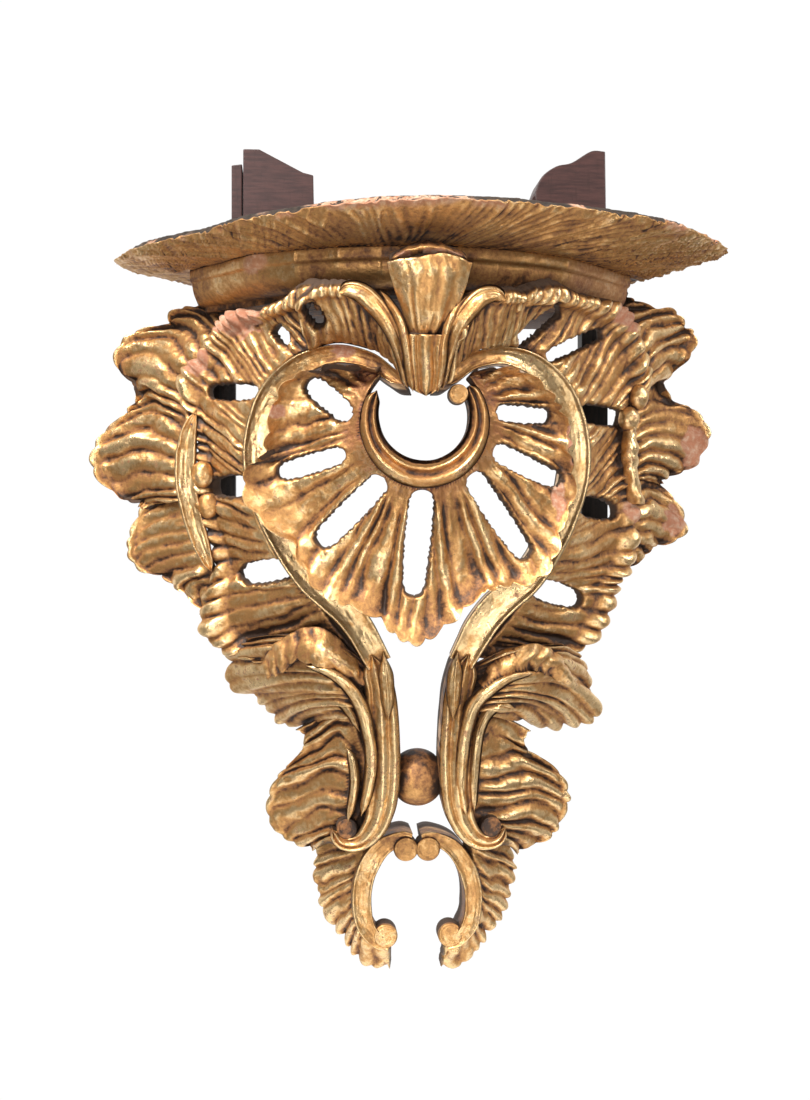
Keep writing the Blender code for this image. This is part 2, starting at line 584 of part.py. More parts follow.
def heart_scroll(side):
    """One of the two C-scrolls that frame the shell like a heart."""
    path = []
    line = curve(HEART_EDGE, 15)
    inward = unit(np.cross(np.gradient(line[:, :3], axis=0), (0.0, 0.0, 1.0)))
    for point, way in zip(line, inward):
        path.append((*(point[:3] + way * point[3] / 2), point[3]))
    return swept(f"heart_scroll_{side}", mirrored(path, side), facing(HEART_SECTION, side), 26, HEART_DEPTH)


def pierced_band(side):
    """The ribbed and pierced band outside the heart, with a knuckled roll along its edge."""
    rails = (mirrored(BAND_INNER, side), BAND_OUTER[side])
    return ribbed(f"band_{side}", rails, slots=BAND_SLOTS[side], **PANELS["band"])


def strip(side):
    """The thin C-shaped strip outside the knuckled rim."""
    return swept(f"strip_{side}", STRIP[side], STRIP_SECTION, 8, STRIP_DEPTH)


def wings(side):
    """The fluted wings that reach out to the sides and back towards the wall."""
    upper = ribbed(f"upper_wing_{side}", UPPER_WING[side], **PANELS["upper_wing"])
    lower = ribbed(f"side_wing_{side}", SIDE_WING[side], **PANELS["side_wing"])
    return [upper, lower]


def lower_leaf(side):
    """The acanthus leaf that turns out below the heart."""
    return ribbed(f"lower_leaf_{side}", LOWER_LEAF[side], **PANELS["lower_leaf"])


def sheath(side):
    """The reeded sheath that runs down from the heart into a volute."""
    section = facing(SHEATH_SECTION, side)
    stem = swept(f"sheath_{side}", mirrored(SHEATH, side), section, 20, SHEATH_DEPTH)
    eye = ball(f"volute_eye_{side}", mirrored(VOLUTE_EYE, side), VOLUTE_EYE_SIZE, 10, 6)
    return [stem, eye]


def lower_wing(side):
    """The fluted wing outside the sheath."""
    return ribbed(f"lower_wing_{side}", LOWER_WING[side], **PANELS["lower_wing"])


def foot_scroll(side):
    """One of the two C-scrolls at the bottom, with its small volutes."""
    section = facing(FOOT_SECTION, side)
    pieces = [swept(f"foot_scroll_{side}", mirrored(FOOT_SCROLL, side), section, 18, FOOT_DEPTH)]
    for number, eye in enumerate(FOOT_EYES):
        x, z, out = mirrored(eye, side)
        path = [(x, z, out - FOOT_DEPTH + FOOT_EYE_PROUD), (x, z, out + FOOT_EYE_PROUD)]
        pieces.append(drum(f"foot_eye_{side}_{number}", path, FOOT_EYE_RADIUS))
    return pieces


def drum(name, path, radius, sides=12):
    """A short round post between two points that differ only in their distance from the wall."""
    turn = np.linspace(0, 2 * np.pi, sides, endpoint=False)
    rings = [[(x + radius * math.cos(a), z + radius * math.sin(a), out) for a in turn] for x, z, out in path]
    return loft(name, np.array(rings))


def fringe(side):
    """The rocaille fringe outside the bottom scroll."""
    rails = [mirrored(rail, side) for rail in FRINGE]
    return ribbed(f"fringe_{side}", rails, **PANELS["fringe"])


def palmette():
    """The fan in the middle of the frieze, on its three-stranded stem."""
    fan = ribbed("palmette", PALMETTE, **PANELS["palmette"])
    strands = []
    for offset in STEM_STRANDS:
        path = [(x + offset, z, out, STEM_RADIUS) for x, z, out in STEM]
        strands.append(strand(f"strand_{offset}", path, 5))
    return [fan] + strands


def upper_leaf(side):
    """The leaf that curls away from the stem of the palmette."""
    rails = [mirrored(rail, side) for rail in UPPER_LEAF]
    return ribbed(f"upper_leaf_{side}", rails, **PANELS["upper_leaf"])


def carving(cutters):
    """The whole carved body below the frieze, joined into one solid."""
    pieces = [ring(), shell()] + palmette()
    pieces.append(ball("bead", BALL_CENTRE, BALL_SIZE))
    for side in (LEFT, RIGHT):
        pieces += [heart_scroll(side), pierced_band(side), strip(side)]
        pieces += wings(side)
        pieces += [lower_leaf(side), lower_wing(side), fringe(side), upper_leaf(side)]
        pieces += sheath(side)
        pieces += foot_scroll(side)
    joined = bpy.data.collections.new("carving_pieces")
    cutters.children.link(joined)
    for piece in pieces[1:]:
        guide(piece, joined)
    body = pieces[0]
    body.name = "carving"
    union(body, joined)
    lighter = body.modifiers.new("lighter", "DECIMATE")
    lighter.ratio = JOINED_DETAIL
    return body


def main():
    """Build the bracket in an empty scene."""
    for item in list(bpy.data.objects):
        bpy.data.objects.remove(item)
    scene = bpy.context.scene.collection
    bracket = bpy.data.collections.new("carved_wall_bracket")
    cutters = bpy.data.collections.new("cutters")
    scene.children.link(bracket)
    scene.children.link(cutters)
    pieces = [(shelf(), "gold"), (frieze(), "gold"), (carving(cutters), "gold")]
    for side in (LEFT, RIGHT):
        pieces.append((upright(side), "dark_wood"))
        pieces.append((block(side), "mahogany"))
    for piece, finish in pieces:
        bracket.objects.link(piece)
        piece.data.materials.append(material(finish))


main()
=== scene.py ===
"""The look of a carved and gilded rococo wall bracket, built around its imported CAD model.

Design points are in millimetres as (x, z, out): x to the right, z up from the middle of the frieze, and
out away from the wall. The wall is the plane Y = 0 and the bracket faces -Y. The carved surfaces are nets
of points, cut and rounded in numpy, whose crests, hollows and worn places are kept as mesh attributes
that the materials read.
"""
import math

import bmesh
import bpy
import numpy as np
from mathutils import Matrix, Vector
from mathutils.bvhtree import BVHTree
from mathutils.kdtree import KDTree

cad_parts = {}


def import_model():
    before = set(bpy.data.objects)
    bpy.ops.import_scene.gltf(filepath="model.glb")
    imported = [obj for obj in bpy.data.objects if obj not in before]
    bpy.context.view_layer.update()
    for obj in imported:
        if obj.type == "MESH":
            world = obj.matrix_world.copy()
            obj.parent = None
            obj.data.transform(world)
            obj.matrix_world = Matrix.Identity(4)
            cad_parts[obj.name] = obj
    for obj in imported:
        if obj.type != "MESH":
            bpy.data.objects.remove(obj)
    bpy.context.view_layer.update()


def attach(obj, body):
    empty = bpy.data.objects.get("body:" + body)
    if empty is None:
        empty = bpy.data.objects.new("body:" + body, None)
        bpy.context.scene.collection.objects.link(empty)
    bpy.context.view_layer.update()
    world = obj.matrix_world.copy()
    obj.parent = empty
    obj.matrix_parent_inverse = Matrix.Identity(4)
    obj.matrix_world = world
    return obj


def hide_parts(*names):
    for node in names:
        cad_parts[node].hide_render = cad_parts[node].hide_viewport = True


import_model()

MM = 0.001
LEFT = -1
RIGHT = 1
CELL = 1.5      # step of the carved nets
EDGE_STEPS = (0.0, 0.35, 1.0, 2.0)     # finer steps beside a panel's edges
SIDE_NAME = {LEFT: "left", RIGHT: "right"}

# Camera of the photograph: distance and height in metres, lens in millimetres
CAMERA_DISTANCE = 1.25
CAMERA_YAW = math.radians(4.0)
CAMERA_HEIGHT = -0.196
CAMERA_LENS = 51.05

# Shelf, with its plan given as (x, out)
SHELF_TOP = 35.0
SHELF_EDGE = 6.0
SHELF_FLUTES = 96
SHELF_FLARE = 1.7
FLUTE_FAN = 0.75         # how much closer the flutes stand at the frieze than at the rim
SHELF_PLAN = ((-222, 0), (-226, 42), (-205, 88), (-186, 112), (-160, 136), (-140, 161), (-104, 196),
              (-40, 236), (2, 246), (50, 243), (106, 222), (165, 191), (200, 154), (224, 118), (237, 92),
              (227, 62), (206, 28), (190, 0))
RIM_DROP_LEFT = 5.0
RIM_DROP_REACH = 226.0

# Frieze, a fillet over a cove
FRIEZE_TOP = 12.0
FRIEZE_BOTTOM = -18.0
FRIEZE_HALF_WIDTH = 166.0
FRIEZE_CORNER = {LEFT: (118.0, 146.0), RIGHT: (106.0, 150.0)}
FRIEZE_END_DEPTH = 78.0
FRIEZE_END_INSET = 0.45               # share of the cove's depth by which its ends move inwards
FRIEZE_BOW = 39.0
FILLET = 8.0
FILLET_STEP = 1.5
FILLET_SETBACK = 4.0
COVE_DEPTH = 24.0

# Uprights, and blocks with outlines given as (x, height above their seat)
UPRIGHT_WIDTH = 21.0
UPRIGHT_DEPTH = 20.0
UPRIGHT_INSET = {LEFT: 31.5, RIGHT: 26.5}
UPRIGHT_BOTTOM = {LEFT: -160.0, RIGHT: -190.0}
UPRIGHT_ROUNDING = 1.0
BLOCK_DEPTH = 36.0
BLOCK_FRONT = 62.0
BLOCK_REAR_SETBACK = 6.0
BLOCK_ROUNDING = 0.8
HOUSING_DEPTH = 1.0
GAP = 0.3
BLOCK_OUTLINE = {
    LEFT: ((-127, 0), (-127, 73), (-115, 73), (-82, 56), (-74, 54), (-73, 0)),
    RIGHT: ((96, 0), (96, 45), (101, 56), (112, 64), (124, 67), (139, 76), (150, 76), (151, 0)),
}
BLOCK_REAR = {
    LEFT: ((-136, 0), (-136, 62), (-128, 63), (-128, 0)),
    RIGHT: ((88, 0), (88, 22), (91, 36), (97, 46), (97, 0)),
}

# The centre line leans to the right below this height, by this much for each millimetre down
LEAN_FROM = -130.0
LEAN = 0.018

# Ring, and shell with its rim given as (degrees, radius, out); a slot is (x, z, x, z, half width)
RING_CENTRE = (1.0, -106.0)
RING_OUT = 185.0
RING_RADIUS = 38.0
RING_WIDTH = 19.0
RING_DEPTH = 24.0
RING_ARC = (150.0, 397.0)
RING_VOLUTE = (24.0, -89.0, 184.0)
RING_VOLUTE_RADIUS = 6.8
RING_VOLUTE_DEPTH = 14.0
SHELL_INNER_RADIUS = 43.0
SHELL_RIM = ((134, 46, 176), (143, 60, 170), (154, 84, 162), (165, 101, 155), (178, 106, 150),
             (189, 112, 146), (198, 131, 143), (210, 133, 142), (222, 129, 142), (236, 137, 144),
             (252, 140, 147), (268, 156, 149), (281, 138, 148), (294, 131, 147), (308, 139, 145),
             (322, 129, 142), (338, 121, 142), (350, 106, 146), (360, 106, 150), (370, 92, 156),
             (383, 80, 162), (394, 66, 168), (404, 50, 174))
SHELL_SPLITS = (0, 0.075, 0.2, 0.325, 0.46, 0.6, 0.74, 0.86, 1)
SHELL_SLOTS = ((-74, -83, -56, -100, 8.5), (-94, -140, -60, -131, 7.5), (-67, -187, -32, -152, 9.0),
               (0, -164, -4, -221, 10.0), (40, -150, 74, -196, 9.0), (58, -129, 97, -145, 8.0),
               (59, -100, 88, -101, 7.0))
SLOT_NOTCH = 1.2         # height of the small teeth along a slot's edge
SLOT_PITCH = 5.0

# Heart-shaped pair of scrolls, as a path of (x, z, out, width) for the right half
HEART_EDGE = ((11, -79, 178, 8), (18, -72, 173, 10), (33, -60, 168, 11), (60, -53, 161, 13),
              (90, -61, 150, 16), (114, -84, 138, 19), (125, -120, 132, 21), (122, -155, 130, 22),
              (108, -190, 130, 22), (88, -222, 130, 22), (58, -251, 127, 22), (38, -283, 120, 19))
HEART_DEPTH = 22.0

# Pierced bands, with the shares along their edges at which they are notched
BAND_INNER = ((36, -57, 158), (60, -53, 155), (83, -57, 147), (101, -69, 138), (114, -84, 130),
              (121, -104, 125), (124, -130, 122), (121, -160, 120), (110, -187, 120), (96, -210, 120),
              (76, -234, 119), (58, -256, 117), (43, -276, 114))
BAND_OUTER = {
    LEFT: ((-57, -18, 188), (-71, -16, 184), (-83, -15, 174), (-94, -19, 155), (-111, -23, 130),
           (-131, -22, 106), (-148, -36, 90), (-161, -51, 79), (-172, -66, 75), (-168, -84, 72),
           (-162, -106, 73), (-160, -130, 74), (-158, -156, 73), (-153, -184, 70), (-149, -208, 68),
           (-152, -228, 64), (-158, -246, 60), (-156, -262, 60), (-138, -274, 62), (-112, -280, 76),
           (-88, -279, 90)),
    RIGHT: ((62, -22, 188), (75, -16, 183), (93, -11, 170), (113, -12, 148), (136, -12, 122),
            (156, -16, 98), (172, -28, 84), (177, -44, 77), (178, -70, 72), (168, -104, 70),
            (170, -144, 68), (176, -172, 66), (170, -206, 60), (159, -221, 62), (157, -238, 64),
            (148, -259, 66), (130, -271, 70), (98, -280, 86)),
}
BAND_SPLITS = {LEFT: (0, 0.2, 0.33, 0.5, 0.66, 0.84, 1), RIGHT: (0, 0.22, 0.36, 0.5, 0.68, 0.84, 1)}
BAND_SLOTS = {
    LEFT: ((-78, -33, -72, -40, 5.5), (-101, -40, -96, -47, 4.6), (-147, -79, -121, -82, 6.5),
           (-144, -150, -125, -150, 8.5), (-122, -214, -97, -211, 9.0)),
    RIGHT: ((73, -47, 98, -28, 5.0), (97, -57, 136, -37, 5.0), (127, -96, 155, -97, 7.5),
            (128, -164, 150, -166, 8.0), (94, -226, 123, -233, 8.5)),
}

# Wings, strips and the knobs beside them
UPPER_WING = {
    LEFT: (((-132, -30, 82), (-152, -46, 76), (-163, -64, 70), (-167, -86, 64), (-168, -106, 61),
            (-168, -126, 59), (-168, -144, 58), (-167, -158, 58)),
           ((-158, -8, 56), (-182, -16, 42), (-202, -24, 33), (-218, -34, 27), (-228, -50, 24),
            (-222, -66, 24), (-212, -78, 25), (-222, -93, 22), (-235, -106, 18), (-243, -124, 17),
            (-238, -144, 18), (-224, -158, 22), (-208, -163, 26))),
    RIGHT: (((142, -26, 82), (164, -40, 76), (173, -58, 70), (174, -76, 64), (168, -92, 61),
             (164, -108, 59), (166, -126, 58), (174, -142, 58)),
            ((166, 2, 62), (188, -6, 46), (212, -8, 34), (227, -20, 27), (222, -36, 26), (213, -50, 27),
             (207, -66, 26), (214, -77, 23), (230, -84, 20), (242, -103, 17), (234, -124, 19),
             (216, -136, 25), (200, -143, 31))),
}
WING_SPLITS = {LEFT: (0, 0.16, 0.45, 1), RIGHT: (0, 0.3, 0.5, 1)}
SIDE_WING = {
    LEFT: (((-166, -154, 55), (-161, -180, 60), (-155, -200, 62), (-149, -216, 64), (-143, -232, 64)),
           ((-200, -153, 25), (-212, -178, 25), (-218, -198, 24), (-210, -213, 25), (-192, -220, 30),
            (-174, -228, 38), (-158, -244, 48))),
    RIGHT: (((170, -138, 56), (174, -160, 60), (170, -180, 60), (160, -196, 62), (150, -212, 64)),
            ((194, -136, 30), (214, -163, 26), (219, -180, 23), (209, -191, 26), (193, -196, 33),
             (176, -206, 42), (158, -216, 50))),
}
SIDE_WING_SPLITS = (0, 0.62, 1)
STRIP = {
    LEFT: ((-161, -92, 82, 4), (-167, -112, 83, 13), (-169, -140, 83, 16), (-165, -166, 82, 15),
           (-158, -190, 80, 13), (-150, -212, 78, 6)),
    RIGHT: ((166, -92, 84, 6), (164, -114, 84, 9), (166, -138, 83, 9), (172, -162, 79, 6)),
}
STRIP_DEPTH = 14.0
KNOBS = ((-156, -140, 86), (-152, -163, 82), (171, -80, 82), (164, -97, 82))
KNOB_SIZE = (16.0, 20.0, 14.0)

# Lower leaves with their crests and raised lines
LOWER_LEAF = {
    LEFT: (((-35, -279, 112), (-31, -290, 110), (-30, -300, 108), (-29, -310, 106), (-29, -320, 103)),
           ((-58, -264, 122), (-62, -276, 120), (-60, -290, 116), (-54, -304, 110), (-46, -316, 104)),
           ((-96, -258, 104), (-106, -276, 94), (-96, -296, 86), (-80, -312, 80), (-64, -322, 78)),
           ((-124, -262, 76), (-138, -272, 62), (-143, -286, 52), (-138, -302, 47), (-122, -311, 45),
            (-108, -321, 44), (-97, -331, 45), (-84, -334, 50))),
    RIGHT: (((40, -280, 112), (36, -290, 110), (35, -300, 108), (35, -310, 106), (35, -320, 103)),
            ((66, -268, 122), (70, -280, 120), (68, -294, 116), (62, -308, 110), (54, -318, 104)),
            ((98, -266, 104), (112, -282, 94), (106, -302, 86), (90, -316, 80), (74, -322, 78)),
            ((118, -270, 80), (134, -284, 64), (142, -300, 52), (148, -316, 46), (144, -327, 44),
             (128, -334, 44), (110, -336, 46), (94, -331, 52))),
}
LEAF_SPLITS = {LEFT: (0, 0.3, 0.6, 1), RIGHT: (0, 0.4, 0.75, 1)}
LEAF_CREST = {
    LEFT: (((-110, -278, 94), (-100, -262, 107), (-81, -251, 118), (-65, -253, 122), (-50, -265, 121),
            (-40, -281, 118), (-35, -292, 115)),
           ((-109, -290, 93), (-98, -285, 104), (-86, -277, 117), (-76, -280, 124), (-66, -281, 126),
            (-54, -286, 124), (-42, -297, 119))),
    RIGHT: (((119, -288, 90), (108, -275, 103), (90, -265, 115), (73, -266, 121), (57, -275, 121),
             (43, -291, 117)),
            ((118, -298, 90), (104, -290, 100), (88, -283, 112), (77, -287, 122), (66, -290, 124),
             (50, -300, 121))),
}
LEAF_LINES = {
    LEFT: (((-80, -279, 122, 4), (-63, -284, 128, 8), (-49, -295, 128, 10), (-40, -310, 123, 11),
            (-35, -328, 117, 10), (-32, -349, 110, 10), (-34, -371, 102, 9), (-39, -392, 95, 6)),
           ((-64, -308, 102, 5), (-55, -307, 109, 8), (-47, -315, 113, 8), (-41, -328, 112, 5)),
           ((-50, -341, 100, 4), (-46, -350, 104, 7), (-44, -366, 101, 8), (-46, -384, 95, 7),
            (-49, -398, 90, 4))),
    RIGHT: (((87, -285, 118, 4), (69, -288, 126, 8), (53, -297, 127, 10), (42, -309, 123, 11),
             (37, -327, 117, 10), (35, -348, 109, 10), (35, -370, 101, 9), (39, -393, 94, 6)),
            ((74, -313, 100, 5), (63, -310, 107, 9), (53, -316, 111, 9), (47, -330, 109, 9),
             (45, -346, 105, 9), (44, -368, 100, 8), (45, -390, 93, 5))),
}
LEAF_LINE_DEPTH = 20.0

# Sheaths, the tongues at their heads and the lower wings
SHEATH = ((35, -272, 121, 20), (29, -300, 115, 22), (27, -335, 106, 24), (27, -370, 98, 24),
          (32, -398, 90, 20), (44, -414, 84, 14), (58, -415, 82, 10), (65, -405, 82, 8))
SHEATH_DEPTH = 38.0
SHEATH_VOLUTE = (54.0, -404.0, 83.0)
SHEATH_VOLUTE_RADIUS = 8.0
SHEATH_VOLUTE_DEPTH = 16.0
TONGUE = ((27, -270, 124, 8), (25, -286, 123, 11), (24, -304, 120, 10), (24, -320, 116, 6))
TONGUE_DEPTH = 8.0
LOWER_WING = {
    LEFT: (((-46, -310, 98), (-42, -328, 96), (-36, -347, 92), (-34, -365, 88), (-36, -384, 82),
            (-44, -402, 76), (-58, -416, 70)),
           ((-86, -331, 60), (-81, -342, 60), (-89, -353, 54), (-101, -367, 45), (-108, -382, 36),
            (-111, -400, 28), (-106, -413, 25), (-94, -423, 25), (-75, -427, 29))),
    RIGHT: (((52, -312, 98), (44, -329, 96), (39, -347, 92), (38, -366, 88), (40, -386, 82),
             (50, -403, 76), (68, -418, 70)),
            ((92, -334, 62), (88, -346, 60), (106, -357, 50), (120, -373, 41), (126, -391, 33),
             (124, -407, 28), (116, -421, 26), (99, -430, 27), (86, -432, 31))),
}
LOWER_WING_SPLITS = (0, 0.16, 1)

# Ball, bottom scrolls and fringe
BALL_CENTRE = (4.0, -367.0, 74.0)
BALL_SIZE = (42.0, 43.0, 46.0)
FOOT_SCROLL = ((4, -418, 56, 8), (12, -417, 56, 9), (27, -424, 56, 11), (38, -440, 55, 12),
               (43, -460, 54, 12), (41, -482, 52, 11), (32, -496, 50, 9), (22, -500, 49, 8))
FOOT_DEPTH = 48.0
FOOT_BREADTH = {LEFT: 1.3, RIGHT: 1.15}
FOOT_EYES = ((8.5, -425.0, 56.0), (25.0, -493.0, 49.0))
FOOT_EYE_RADIUS = 9.4
FOOT_EYE_DEPTH = 20.0
FOOT_EYE_PROUD = 0.6
FRINGE = (((40, -411, 54), (44, -444, 48), (45, -476, 42), (37, -498, 38), (22, -507, 36)),
          ((80, -430, 24), (79, -452, 18), (76, -474, 15), (64, -494, 14), (50, -512, 14), (36, -524, 14),
           (20, -526, 16)))
FRINGE_SPLITS = (0, 0.3, 0.62, 1)

# Palmette, its cap and stem, and the leaves beside it
PALMETTE = (((-12, -53, 197), (-5, -54, 200), (1, -54, 201), (7, -54, 200), (12, -53, 197)),
            ((-17, -38, 204), (-8, -37, 209), (1, -37, 211), (11, -37, 209), (19, -38, 204)),
            ((-24, -18, 211), (-12, -14, 218), (1, -13, 221), (14, -14, 218), (27, -17, 211)),
            ((-27, -6, 214), (-14, -2, 221), (1, -1, 223), (16, -2, 221), (29, -5, 214)))
CAP = (((-24, -8, 206), (-11, -4, 212), (1, -3, 214), (13, -4, 212), (26, -7, 206)),
       ((-25, -3, 216), (-12, 2, 223), (1, 4, 225), (14, 2, 223), (27, -2, 216)),
       ((-19, 5, 204), (-9, 10, 206), (1, 12, 207), (12, 10, 206), (23, 6, 204)))
STEM = ((0, -52, 206, 26), (0, -64, 201, 25), (1, -76, 196, 23), (1, -91, 190, 17))
STEM_DEPTH = 12.0
UPPER_LEAF = {
    LEFT: (((-14, -83, 183), (-19, -72, 181), (-26, -63, 177), (-37, -57, 172), (-50, -53, 167),
            (-66, -53, 161), (-78, -58, 156)),
           ((-24, -48, 204), (-31, -33, 205), (-43, -21, 202), (-55, -18, 200), (-67, -18, 196),
            (-77, -20, 190), (-88, -26, 180))),
    RIGHT: (((15, -83, 183), (21, -71, 181), (28, -65, 177), (40, -58, 173), (54, -55, 167),
             (69, -54, 161)),
            ((20, -48, 204), (28, -34, 205), (40, -23, 202), (54, -21, 198), (66, -20, 192),
             (77, -16, 186))),
}
LEAF_STRANDS = {
    LEFT: (((-11, -86, 189, 6), (-16, -65, 197, 9), (-23, -48, 205, 12), (-33, -34, 210, 14),
            (-43, -25, 211, 14), (-52, -22, 209, 12), (-59, -24, 205, 7)),
           ((-8, -88, 191, 6), (-11, -72, 199, 7), (-14, -54, 205, 7), (-19, -40, 208, 7),
            (-25, -31, 208, 6), (-31, -23, 206, 5)),
           ((-14, -80, 185, 4), (-19, -60, 193, 6), (-27, -44, 200, 7), (-36, -34, 203, 6),
            (-46, -29, 203, 5))),
    RIGHT: (((12, -86, 189, 6), (15, -65, 197, 9), (19, -49, 205, 12), (27, -36, 210, 14),
             (36, -27, 211, 14), (46, -24, 209, 12), (54, -28, 204, 7)),
            ((9, -88, 191, 6), (11, -71, 199, 7), (12, -54, 205, 7), (16, -41, 208, 7), (22, -31, 208, 6),
             (31, -22, 206, 5)),
            ((16, -80, 184, 4), (19, -63, 192, 6), (25, -48, 199, 7), (31, -38, 202, 6),
             (38, -34, 202, 5))),
}
STRAND_DEPTH = 9.0

# Worn places, each as (x, z, half width, half height)
BARE_BAND = {
    LEFT: ((-132, -29, 20, 12), (-161, -58, 9, 12)),
    RIGHT: ((161, -20, 13, 12), (171, -166, 10, 11)),
}
BARE_WING = {LEFT: (), RIGHT: ((230, -115, 13, 18),)}
BARE_SIDE_WING = {LEFT: (), RIGHT: ((210, -172, 9, 11),)}
BARE_HEART = {LEFT: ((-55, -57, 8, 5),), RIGHT: ()}
BARE_SHELL = ((-101, -100, 6, 5), (110, -118, 5, 14), (100, -160, 5, 12))
BARE_CAP = ((-16, 0, 5, 2), (4, 1, 7, 2), (19, 0, 5, 2))
BARE_FRIEZE = ((-116, 6, 9, 6),)
WORN_FRIEZE = ((137, -3, 30, 17),)

# Search for what shades a point, for the painted shade in the gilding, and the floor
OPEN_REACH = 0.075       # how far, in metres, a point looks for what shades it
OPEN_RAYS = 10
FLOOR_RADIUS = 0.42
FLOOR_PLACE = (0.0, -0.1, -0.8)


# Curves and nets of points

def smooth(low, high, value):
    """A soft step from 0 at low to 1 at high."""
    t = np.clip((value - low) / (high - low), 0.0, 1.0)
    return t * t * (3 - 2 * t)


def along(points, place):
    """Points of a smooth curve at the given places, counted in knots from the first one."""
    knots = np.asarray(points, dtype=float)
    padded = np.vstack([2 * knots[0] - knots[1], knots, 2 * knots[-1] - knots[-2]])
    place = np.asarray(place, dtype=float)
    start = np.clip(np.floor(place).astype(int), 0, len(knots) - 2)
    s = (place - start)[:, None]
    a, b, c, d = (padded[start + k] for k in range(4))
    return 0.5 * (2 * b + (c - a) * s + (2 * a - 5 * b + 4 * c - d) * s ** 2
                  + (3 * b - a - 3 * c + d) * s ** 3)


def run_length(line):
    """The length of a line of points up to each point."""
    return np.concatenate([[0], np.cumsum(np.linalg.norm(np.diff(line, axis=0), axis=1))])


def measured(points):
    """Fine places along a curve and the length up to each."""
    fine = np.linspace(0, len(points) - 1, 40 * len(points))
    return fine, run_length(along(points, fine)[:, :3])


def at_shares(points, share):
    """Points of a smooth curve at the given shares of its length."""
    fine, length = measured(points)
    return along(points, np.interp(share * length[-1], length, fine))


def stepped(length, cell=CELL):
    """Distances along a length in even steps, with finer steps beside both ends."""
    count = max(4, int(round((length - 2 * EDGE_STEPS[-1]) / cell)))
    middle = np.linspace(EDGE_STEPS[-1], length - EDGE_STEPS[-1], count)
    start = np.array(EDGE_STEPS[:-1])
    return np.concatenate([start, middle, (length - start)[::-1]])


def across(lines, share):
    """A net of points: smooth curves from the first rail to the last one, at the given shares."""
    lines = np.asarray(lines)
    padded = np.concatenate([[2 * lines[0] - lines[1]], lines, [2 * lines[-1] - lines[-2]]])
    place = np.asarray(share) * (len(lines) - 1)
    start = np.clip(np.floor(place).astype(int), 0, len(lines) - 2)
    s = (place - start)[:, None, None]
    a, b, c, d = (padded[start + k] for k in range(4))
    net = 0.5 * (2 * b + (c - a) * s + (2 * a - 5 * b + 4 * c - d) * s ** 2
                 + (3 * b - a - 3 * c + d) * s ** 3)
    return net.transpose(1, 0, 2)


def unit(vectors):
    """Vectors of length one."""
    return vectors / np.maximum(np.linalg.norm(vectors, axis=-1, keepdims=True), 1e-9)


def mirrored(points, side):
    """Points drawn for the right half, on the given side of the leaning centre line."""
    points = np.array(points, dtype=float)
    points[..., 0] *= side
    points[..., 0] += LEAN * np.maximum(0.0, LEAN_FROM - points[..., 1])
    return points


def noise(shape, cells, seed):
    """Smooth random values from -1 to 1 over a net, with the given number of cells each way."""
    values = np.random.default_rng(seed).uniform(-1, 1, (int(cells[0]) + 2, int(cells[1]) + 2))
    places = [np.linspace(0, int(c), n) for c, n in zip(cells, shape)]
    starts = [np.minimum(p.astype(int), int(c)) for p, c in zip(places, cells)]
    (i, j), (s, t) = starts, [smooth(0, 1, p - k) for p, k in zip(places, starts)]
    low = values[i][:, j] * (1 - t) + values[i][:, j + 1] * t
    high = values[i + 1][:, j] * (1 - t) + values[i + 1][:, j + 1] * t
    return low * (1 - s)[:, None] + high * s[:, None]


def grainy(shape, size, seed):
    """Smooth random values over a net, in cells of the given number of points."""
    return noise(shape, (shape[0] // size + 1, shape[1] // size + 1), seed)


def wander(count, cells, seed):
    """Smooth random values from -1 to 1 along a line."""
    return noise((count, 2), (max(1, cells), 1), seed)[:, 0]


def blurred(net, reach):
    """A net averaged over a square of points."""
    for axis in (0, 1):
        for _ in range(2):
            pad = [(reach + 1, reach) if k == axis else (0, 0) for k in range(net.ndim)]
            total = np.cumsum(np.pad(net, pad, mode="reflect", reflect_type="odd"), axis=axis)
            size = net.shape[axis]
            high = np.take(total, np.arange(2 * reach + 1, 2 * reach + 1 + size), axis=axis)
            net = (high - np.take(total, np.arange(size), axis=axis)) / (2 * reach + 1)
    return net


def normals(net):
    """Unit normals of a net of points."""
    return unit(np.cross(np.gradient(net, axis=0), np.gradient(net, axis=1)))


def relief(net, normal, reach):
    """How far each point of a net stands above its surroundings, in millimetres."""
    reach = max(1, min(reach, min(net.shape[:2]) // 3))
    return ((net - blurred(net, reach)) * normal).sum(axis=-1)


def spots(x, z, places, shape, seed):
    """A mask from 0 to 1 of ragged patches at the given places."""
    mask = np.zeros(shape)
    ragged = 0.35 * grainy(shape, 5, seed)
    for centre_x, centre_z, half_width, half_height in places:
        reach = np.hypot((x - centre_x) / half_width, (z - centre_z) / half_height)
        mask = np.maximum(mask, smooth(1.12, 0.9, reach + ragged))
    return mask


# Meshes

def to_metres(points):
    """Design points (x, z, out) in millimetres as Blender coordinates in metres."""
    points = np.asarray(points, dtype=float)
    return np.stack([points[..., 0], -points[..., 2], points[..., 1]], axis=-1) * MM


built = []


